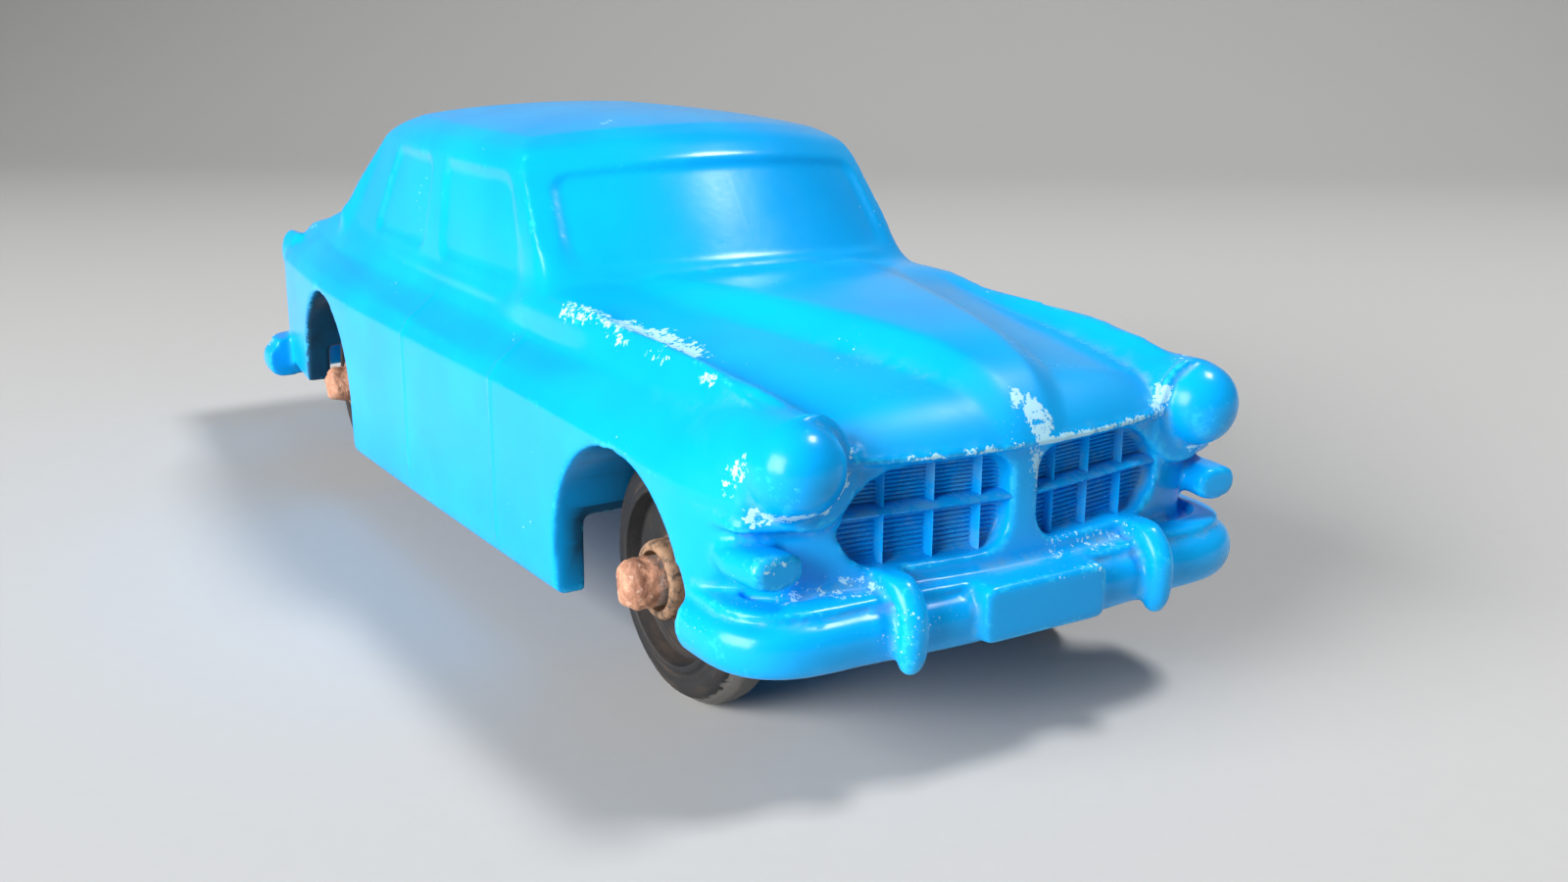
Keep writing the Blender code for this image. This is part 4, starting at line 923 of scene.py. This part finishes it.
def buildGrilleBars(material):
    tree, g, bars = barsTree(), grille, []
    middle, height = (g["inner"] + g["outer"]) / 2, g["top"] - g["bottom"]
    slope = np.arctan2(grillePlane(g["outer"]) - grillePlane(g["inner"]), g["outer"] - g["inner"])
    floorY, length = grillePlane(middle) + g["depth"], g["outer"] - g["inner"] + g["overlap"]
    for side in (-1, 1):
        across = {"Turn": (0.0, pi / 2, side * slope), "Length": length, "Material": material}
        halfRail = g["railWidth"] / 2
        for low, high in ((g["bottom"], g["rail"] - halfRail), (g["rail"] + halfRail, g["top"])):
            pitch = (high - low) / (g["fins"] + 0.5)
            first = (side * middle, floorY, low + 0.75 * pitch + lift)
            bars.append(repeated(tree, Count=g["fins"], First=first, Step=(0.0, 0.0, pitch),
                                 Width=g["finWidth"], Relief=g["finRelief"], **across))
        bars.append(repeated(tree, Count=1, First=(side * middle, floorY, g["rail"] + lift),
                             Width=g["railWidth"], Relief=g["railRelief"], **across))
        for x in g["uprights"]:
            first = (side * x, grillePlane(x) + g["depth"], g["bottom"] + height / 2 + lift)
            bars.append(repeated(tree, Count=1, First=first, Turn=(0.0, 0.0, 0.0), Width=g["uprightWidth"],
                                 Relief=g["uprightRelief"], Length=height + g["overlap"],
                                 Material=material))
    obj = merge("grille_bars", *bars)
    storeValue(obj, "front", np.ones(len(obj.data.vertices)))
    storeValue(obj, "corner", np.full(len(obj.data.vertices), g["dust"]))
    return finish(obj, material, sharp=0.9)


# Wheels and axles
wheel = {
    "width": 0.0038,
    "centre": 0.0129,
    "crown": 0.0004,
    "shoulder": 0.0009,
    "ridge": (0.0052, 0.0008, 0.0003),   # radius, width, height
    "recess": 0.0008,
    "hub": (0.0025, 0.0011, 0.0004),     # radius, reach, chamfer
    "counterbore": 0.0009,
    "bore": 0.0013,
    "headRoom": 0.00185,
    "fillet": 0.00016,
    "wear": 0.00006,
    "segments": 112,
}
axle = {
    "rod": 0.0010,
    "head": 0.00155,
    "length": 0.0028,
    "round": 0.0010,
    "lumps": 0.00020,
    "room": 0.00168,         # the lumps reach no further than this
    "segments": 48,
}


def turned(name, profile, segments, centre, closed=False):
    # turned about the axle from (x, radius) points
    angles = 2 * pi * (np.arange(segments) + 0.5) / segments
    return loft(name, [[(x, y, z) for y, z in arc(centre, radius, angles)] for x, radius in profile], closed)


def fillet(profile, size):
    # each corner of a closed profile becomes three points
    profile = np.array(profile)
    rounded = []
    for before, here, after in zip(np.roll(profile, 1, 0), profile, np.roll(profile, -1, 0)):
        a, b = before - here, after - here
        la, lb = np.linalg.norm(a), np.linalg.norm(b)
        cut = min(size, la * 0.4, lb * 0.4)
        pa, pb = here + a / la * cut, here + b / lb * cut
        rounded += [pa, (pa + pb) / 4 + here / 2, pb]
    return rounded


def buildWheel(name, side, axleY, material):
    w, half, radius = wheel, wheel["width"] / 2, wheelRadius
    ridge, ridgeWidth, ridgeHeight = w["ridge"]
    hub, reach, chamfer = w["hub"]
    face, seat = half - w["recess"], half + reach - w["counterbore"]
    shoulder = [(half * 0.32, radius)]
    shoulder += [(half - w["shoulder"] * (1 - sin(a)), radius - w["crown"] - w["shoulder"] * (1 - cos(a)))
                 for a in (0.3, 0.8, pi / 2)]
    profile = [(seat, w["bore"]), (-half, w["bore"]), (-half, ridge)]
    profile += [(-x, r) for x, r in shoulder[::-1]] + shoulder
    profile += [(half, ridge + ridgeWidth), (half + ridgeHeight, ridge + ridgeWidth * 0.7),
                (half + ridgeHeight, ridge + ridgeWidth * 0.3), (face, ridge), (face, hub),
                (half + reach - chamfer, hub), (half + reach, hub - chamfer / 2),
                (half + reach, w["headRoom"]), (seat, w["headRoom"])]
    profile = [(side * (w["centre"] + x), r) for x, r in fillet(profile, w["fillet"])]
    obj = turned(name, profile, w["segments"], (axleY, radius), closed=True)
    co = points(obj)
    away = np.hypot(co[:, 1] - axleY, co[:, 2] - radius)
    storeValue(obj, "radius", away * 1000)
    storeValue(obj, "outward", np.clip((side * co[:, 0] - w["centre"]) / half, -1, 2))
    # the tread has worn a little out of true
    angle = np.arctan2(co[:, 2] - radius, co[:, 1] - axleY)
    worn = smoothStep(away, radius - 0.0009, radius - 0.0001) * w["wear"]
    worn = worn * (np.sin(5 * angle + 1.3) + np.sin(11 * angle))
    scale = (away - np.maximum(worn, 0)) / np.maximum(away, 1e-9)
    centre = np.array((axleY, radius))
    co[:, 1:] = centre + (co[:, 1:] - centre) * scale[:, None]
    writePoints(obj, co)
    return finish(obj, material, sharp=0.8)


def buildAxle(name, axleY, material):
    a = axle
    seat = wheel["centre"] + wheel["width"] / 2 + wheel["hub"][1] - wheel["counterbore"] + 0.0003
    half = [(x, a["rod"]) for x in np.linspace(0, seat, 24)[1:]]
    half += [(seat, a["head"] * 0.8), (seat + 0.0001, a["head"] - 0.0001)]
    half += [(x, a["head"]) for x in np.linspace(seat + 0.0003, seat + a["length"] - a["round"], 12)]
    half += [(seat + a["length"] - a["round"] * (1 - sin(t)), a["head"] - a["round"] * (1 - cos(t)))
             for t in np.linspace(0.15, 1.42, 10)]
    half += [(seat + a["length"] + 0.00002, 0.0002)]
    obj = turned(name, [(-x, r) for x, r in half[::-1]] + half, a["segments"], (axleY, wheelRadius))
    co, centre = points(obj), np.array((axleY, wheelRadius))
    onHead = smoothStep(np.abs(co[:, 0]), seat + 0.0004, seat + 0.0012)
    # the heads were upset with a press, so they lean and bulge a little
    lumps = np.array([noise.noise(Vector(p) * 900) + 0.5 * noise.noise(Vector(p) * 2200 + Vector((7, 3, 1)))
                      for p in co])
    co = co + vertexNormals(obj) * (lumps * a["lumps"] * onHead)[:, None]
    away = co[:, 1:] - centre
    reach = np.linalg.norm(away, axis=1)
    co[:, 1:] = centre + away * np.minimum(1, a["room"] / np.maximum(reach, 1e-9))[:, None]
    writePoints(obj, co)
    storeValue(obj, "head", onHead)
    return finish(obj, material)


# Shading
def mathNode(tree, operation, a, b=0.0, clamp=False):
    return node(tree, "ShaderNodeMath", {0: a, 1: b}, operation=operation, use_clamp=clamp).outputs[0]


def times(tree, first, *others):
    for value in others:
        first = mathNode(tree, "MULTIPLY", first, value)
    return first


def plus(tree, first, *others):
    for value in others:
        first = mathNode(tree, "ADD", first, value)
    return first


def ramp(tree, value, low, high):
    return node(tree, "ShaderNodeMapRange", {"Value": value, "From Min": low, "From Max": high},
                interpolation_type="SMOOTHSTEP").outputs[0]


def noiseNode(tree, place, scale, detail, roughness=0.5):
    return node(tree, "ShaderNodeTexNoise", {"Vector": place, "Scale": scale, "Detail": detail,
                                             "Roughness": roughness}).outputs["Fac"]


def objectPlace(tree):
    return node(tree, "ShaderNodeTexCoord").outputs["Object"]


def attributes(tree, *names):
    return [node(tree, "ShaderNodeAttribute", attribute_name=name).outputs["Fac"] for name in names]


def blendColour(tree, factor, a, b):
    a, b = (value if isinstance(value, bpy.types.NodeSocket) else (*value, 1.0) for value in (a, b))
    return node(tree, "ShaderNodeMix", {"Factor": factor, 6: a, 7: b}, data_type="RGBA").outputs[2]


def mask(tree, group, **inputs):
    return node(tree, "ShaderNodeGroup", inputs, node_tree=group).outputs["Mask"]


def bumpNormal(tree, shader, height, strength, distance):
    relief = node(tree, "ShaderNodeBump", {"Height": height, "Strength": strength, "Distance": distance})
    tree.links.new(relief.outputs["Normal"], shader.inputs["Normal"])


def wearGroup():
    # breaks a painted or edge value up into rubbed patches with ragged rims
    tree, source = newGroup("raggedWear", "ShaderNodeTree", (
        ("Vector", "Vector", None), ("Value", "Float", 0.0), ("Grain", "Float", 2600.0),
        ("Patch", "Float", 700.0), ("Amount", "Float", 1.0)), (("Mask", "Float"),))
    fine = noiseNode(tree, source["Vector"], source["Grain"], 4.0, 0.65)
    broad = noiseNode(tree, source["Vector"], source["Patch"], 3.0, 0.6)
    both = plus(tree, times(tree, fine, 2.0), times(tree, broad, 2.0))
    worn = times(tree, source["Value"], source["Amount"])
    level = plus(tree, worn, mathNode(tree, "SUBTRACT", both, 2.5))
    ragged = times(tree, ramp(tree, level, 0.0, 0.16), ramp(tree, worn, 0.05, 0.25))
    node(tree, "NodeGroupOutput", {"Mask": ragged})
    return tree


def speckGroup():
    # small scattered specks of dust or chips
    tree, source = newGroup("specks", "ShaderNodeTree", (
        ("Vector", "Vector", None), ("Scale", "Float", 900.0), ("Share", "Float", 0.5),
        ("Size", "Float", 0.12)), (("Mask", "Float"),))
    cells = node(tree, "ShaderNodeTexVoronoi", {"Vector": source["Vector"], "Scale": source["Scale"]})
    chosen = noiseNode(tree, source["Vector"], 160.0, 2.0)
    size = times(tree, source["Size"], ramp(tree, chosen, source["Share"], 0.8))
    node(tree, "NodeGroupOutput", {"Mask": mathNode(tree, "LESS_THAN", cells.outputs["Distance"], size)})
    return tree


def newMaterial(name, **plain):
    mat = bpy.data.materials.new(name)
    mat.use_nodes = True
    shader = mat.node_tree.nodes["Principled BSDF"]
    for label, value in plain.items():
        shader.inputs[label.replace("_", " ")].default_value = value
    return mat, mat.node_tree, shader


vinyl = {
    "colour": (0.0012, 0.42, 0.94),
    "deep": (0.001, 0.36, 0.86),
    # worn white, which along the bonnet's lip is also a painted highlight
    "worn": (0.50, 0.84, 0.96),
    "rubbed": (0.03, 0.60, 0.98),
    "dust": (0.20, 0.40, 0.52),
    "paintedWellShade": (0.012, 0.030, 0.050),   # painted shade in the wheel wells
    "roughness": 0.22,
}


def vinylMaterial(wear, specks):
    mat, tree, shader = newMaterial("glossyBlueVinyl", Specular_IOR_Level=0.26)
    place = objectPlace(tree)
    clouds, grimeAndShadeNoise = noiseNode(tree, place, 90.0, 4.0), noiseNode(tree, place, 420.0, 6.0, 0.7)
    edge, corner, scuffAndLipHighlight, front, handled, well = attributes(
        tree, "edge", "corner", "scuffAndLipHighlight", "front", "handled", "well")
    colour = blendColour(tree, ramp(tree, clouds, 0.3, 0.7), vinyl["colour"], vinyl["deep"])
    # dust lies in the corners of the front, paler where parts have rubbed
    settled = times(tree, ramp(tree, grimeAndShadeNoise, 0.42, 0.72), times(tree, corner, front))
    colour = blendColour(tree, times(tree, settled, 0.8), colour, vinyl["dust"])
    # painted shade: the wheel wells are painted nearly black, the noise varying how strongly
    paintedWellShade = times(tree, well, plus(tree, 0.72, times(tree, grimeAndShadeNoise, 0.3)))
    colour = blendColour(tree, paintedWellShade, colour, vinyl["paintedWellShade"])
    edgeRub = mask(tree, wear, Vector=place, Value=edge, Amount=0.50, Patch=330.0)
    colour = blendColour(tree, times(tree, edgeRub, 0.45), colour, vinyl["rubbed"])
    # white strokes: rubbed and chipped vinyl, and along the bonnet's lip partly a painted highlight
    rubbed = mask(tree, wear, Vector=place, Value=scuffAndLipHighlight, Amount=0.95, Patch=1500.0, Grain=3800.0)
    chips = mask(tree, specks, Vector=place, Scale=1500.0, Share=0.56, Size=0.15)
    dust = mask(tree, specks, Vector=place, Scale=3200.0, Share=0.52, Size=0.15)
    chips = mathNode(tree, "MAXIMUM", times(tree, chips, 0.75), times(tree, times(tree, dust, front), 0.6))
    white = mathNode(tree, "MAXIMUM", rubbed, chips)
    colour = blendColour(tree, times(tree, white, 0.85), colour, vinyl["worn"])
    tree.links.new(colour, shader.inputs["Base Color"])
    dull = plus(tree, vinyl["roughness"] - 0.08, times(tree, grimeAndShadeNoise, 0.16), times(tree, white, 0.35),
                times(tree, handled, 0.22))
    dull = mathNode(tree, "ADD", dull, times(tree, settled, 0.4), clamp=True)
    tree.links.new(dull, shader.inputs["Roughness"])
    skin, wave = noiseNode(tree, place, 1500.0, 3.0), noiseNode(tree, place, 120.0, 1.0)
    height = plus(tree, times(tree, skin, 0.10), wave, times(tree, white, 0.30))
    bumpNormal(tree, shader, height, 0.35, 0.00012)
    return mat


rubber = {
    "colour": (0.011, 0.011, 0.012),
    "brown": (0.050, 0.034, 0.024),
    "grey": (0.15, 0.14, 0.125),
    "tan": (0.36, 0.21, 0.12),
}


def rubberMaterial(wear):
    mat, tree, shader = newMaterial("dustyBlackRubber")
    place = objectPlace(tree)
    radius, outward = attributes(tree, "radius", "outward")
    clouds, fine = noiseNode(tree, place, 260.0, 5.0, 0.65), noiseNode(tree, place, 1800.0, 5.0, 0.7)
    rings = node(tree, "ShaderNodeTexNoise", {"W": times(tree, radius, 2.2), "Scale": 1.0, "Detail": 2.0},
                 noise_dimensions="1D").outputs["Fac"]
    dirt = times(tree, ramp(tree, clouds, 0.42, 0.68), ramp(tree, rings, 0.3, 0.7))
    colour = blendColour(tree, dirt, rubber["colour"], rubber["brown"])
    tread = ramp(tree, radius, 7.3, 7.8)
    rubbed = mask(tree, wear, Vector=place, Value=tread, Amount=0.90, Patch=420.0, Grain=2400.0)
    colour = blendColour(tree, times(tree, rubbed, 0.75), colour, rubber["grey"])
    onHub = times(tree, ramp(tree, radius, 3.0, 2.3), ramp(tree, outward, 0.2, 0.5))
    stain = times(tree, onHub, ramp(tree, fine, 0.25, 0.6))
    colour = blendColour(tree, stain, colour, rubber["tan"])
    tree.links.new(colour, shader.inputs["Base Color"])
    tree.links.new(plus(tree, 0.5, times(tree, clouds, 0.35)), shader.inputs["Roughness"])
    bumpNormal(tree, shader, plus(tree, fine, times(tree, rings, 1.5)), 0.5, 0.00008)
    return mat


steel = {
    "rust": (0.68, 0.34, 0.21),
    "dark": (0.38, 0.17, 0.10),
    "pale": (0.86, 0.62, 0.48),
    "bare": (0.42, 0.40, 0.38),
}


def steelMaterial():
    mat, tree, shader = newMaterial("rustyWire")
    place = objectPlace(tree)
    head, = attributes(tree, "head")
    patch, pits = noiseNode(tree, place, 700.0, 6.0, 0.7), noiseNode(tree, place, 2600.0, 4.0, 0.6)
    colour = blendColour(tree, ramp(tree, patch, 0.38, 0.62), steel["dark"], steel["rust"])
    colour = blendColour(tree, times(tree, ramp(tree, pits, 0.55, 0.72), 0.6), colour, steel["pale"])
    clean = times(tree, mathNode(tree, "SUBTRACT", 1.0, head), ramp(tree, patch, 0.62, 0.5))
    colour = blendColour(tree, clean, colour, steel["bare"])
    tree.links.new(colour, shader.inputs["Base Color"])
    tree.links.new(times(tree, clean, 0.9), shader.inputs["Metallic"])
    tree.links.new(plus(tree, 0.45, times(tree, patch, 0.4)), shader.inputs["Roughness"])
    bumpNormal(tree, shader, plus(tree, patch, times(tree, pits, 0.6)), 0.8, 0.0002)
    return mat


# Build
wear, specks = wearGroup(), speckGroup()
blueVinyl, blackRubber, rustyWire = vinylMaterial(wear, specks), rubberMaterial(wear), steelMaterial()

body = buildMoulding()
refineMoulding(body)
thin(body, moulding["triangles"])
body.name = "body_moulding"
body.data.transform(Matrix.Translation((0, 0, lift)))
finish(body, blueVinyl)
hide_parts("body_shell")
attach(body, "body")
print("body", len(body.data.polygons), "faces")

bars = buildGrilleBars(blueVinyl)
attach(bars, "body")
print("grille bars", len(bars.data.polygons), "faces")

for end, axleY in (("front", frontAxle), ("rear", rearAxle)):
    wire = buildAxle(end + "_wire", axleY, rustyWire)
    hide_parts(end + "_axle")
    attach(wire, end + "_axle")
    for side, word in ((-1, "right"), (1, "left")):
        name = end + "_" + word
        tyre = buildWheel("tyre_" + name, side, axleY, blackRubber)
        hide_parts("wheel_" + name)
        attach(tyre, "wheel_" + name)
print("wheels and axles")

# Floor, light and camera
studio = {
    "floor": (0.50, 0.50, 0.495),
    "size": 3.0,
    "turn": -32.2,           # degrees, so that the paper rises behind the car as the camera sees it
    "bend": (0.30, 0.35),    # where the paper starts to rise, and its radius
    "top": 1.4,
    "world": 0.10,
    # name: width and height, watts, place, spread in degrees
    "lamps": {
        "windowLeft": ((0.52, 0.38), 2.5, (-0.60, -0.08, 0.24), 90),
        "lampAbove": ((0.15, 0.10), 2.3, (0.25, -0.12, 0.52), 180),
    },
    "aim": (0, 0, 0.015),
}
camera = {
    "place": (-0.056653, -0.113112, 0.041381),
    "right": (0.84767, -0.53042, 0.01032),
    "down": (-0.13186, -0.22949, -0.96433),
    "forward": (0.51387, 0.81608, -0.26447),
    "lens": 35.77,
}


def buildLamp(name, size, power, place, spread):
    data = bpy.data.lights.new(name, "AREA")
    data.shape = "RECTANGLE"
    data.size, data.size_y = size
    data.energy = power
    data.spread = radians(spread)
    obj = inScene(name, data)
    obj.location = place
    obj.rotation_euler = (Vector(studio["aim"]) - Vector(place)).to_track_quat("-Z", "Y").to_euler()


def buildPaper():
    # one sheet of paper that rises behind the car in a wide bend
    half, (start, radius) = studio["size"] / 2, studio["bend"]
    profile = [(-half, 0.0), (start, 0.0)]
    profile += [(start + radius * sin(t), radius * (1 - cos(t))) for t in np.linspace(0, pi / 2, 16)[1:]]
    profile += [(start + radius, studio["top"])]
    turn = Matrix.Rotation(radians(studio["turn"]), 4, "Z")
    vertices = [turn @ Vector((x, y, z)) for x in (-half, half) for y, z in profile]
    count = len(profile)
    paper = newObject("paper", vertices, [(i, count + i, count + i + 1, i + 1) for i in range(count - 1)])
    mat, tree, shader = newMaterial("palePaper", Roughness=0.85)
    fibre = noiseNode(tree, objectPlace(tree), 700.0, 5.0)
    tint = blendColour(tree, fibre, tuple(c * 0.96 for c in studio["floor"]), studio["floor"])
    tree.links.new(tint, shader.inputs["Base Color"])
    finish(paper, mat)


def buildWorld():
    world = bpy.data.worlds.new("softRoom")
    world.use_nodes = True
    background = world.node_tree.nodes["Background"]
    background.inputs["Color"].default_value = (1, 1, 1, 1)
    background.inputs["Strength"].default_value = studio["world"]
    bpy.context.scene.world = world


def buildCamera():
    data = bpy.data.cameras.new("camera")
    data.sensor_width, data.lens = 36.0, camera["lens"]
    data.clip_start, data.clip_end = 0.005, 20.0
    obj = inScene("camera", data)
    right, down, forward = (Vector(camera[k]).normalized() for k in ("right", "down", "forward"))
    turn = Matrix((right, -down, -forward)).transposed().to_4x4()
    obj.matrix_world = Matrix.Translation(camera["place"]) @ turn
    bpy.context.scene.camera = obj


buildPaper()
buildWorld()
for name, settings in studio["lamps"].items():
    buildLamp(name, *settings)
buildCamera()
bpy.context.scene.view_settings.view_transform = "Standard"
print("studio")
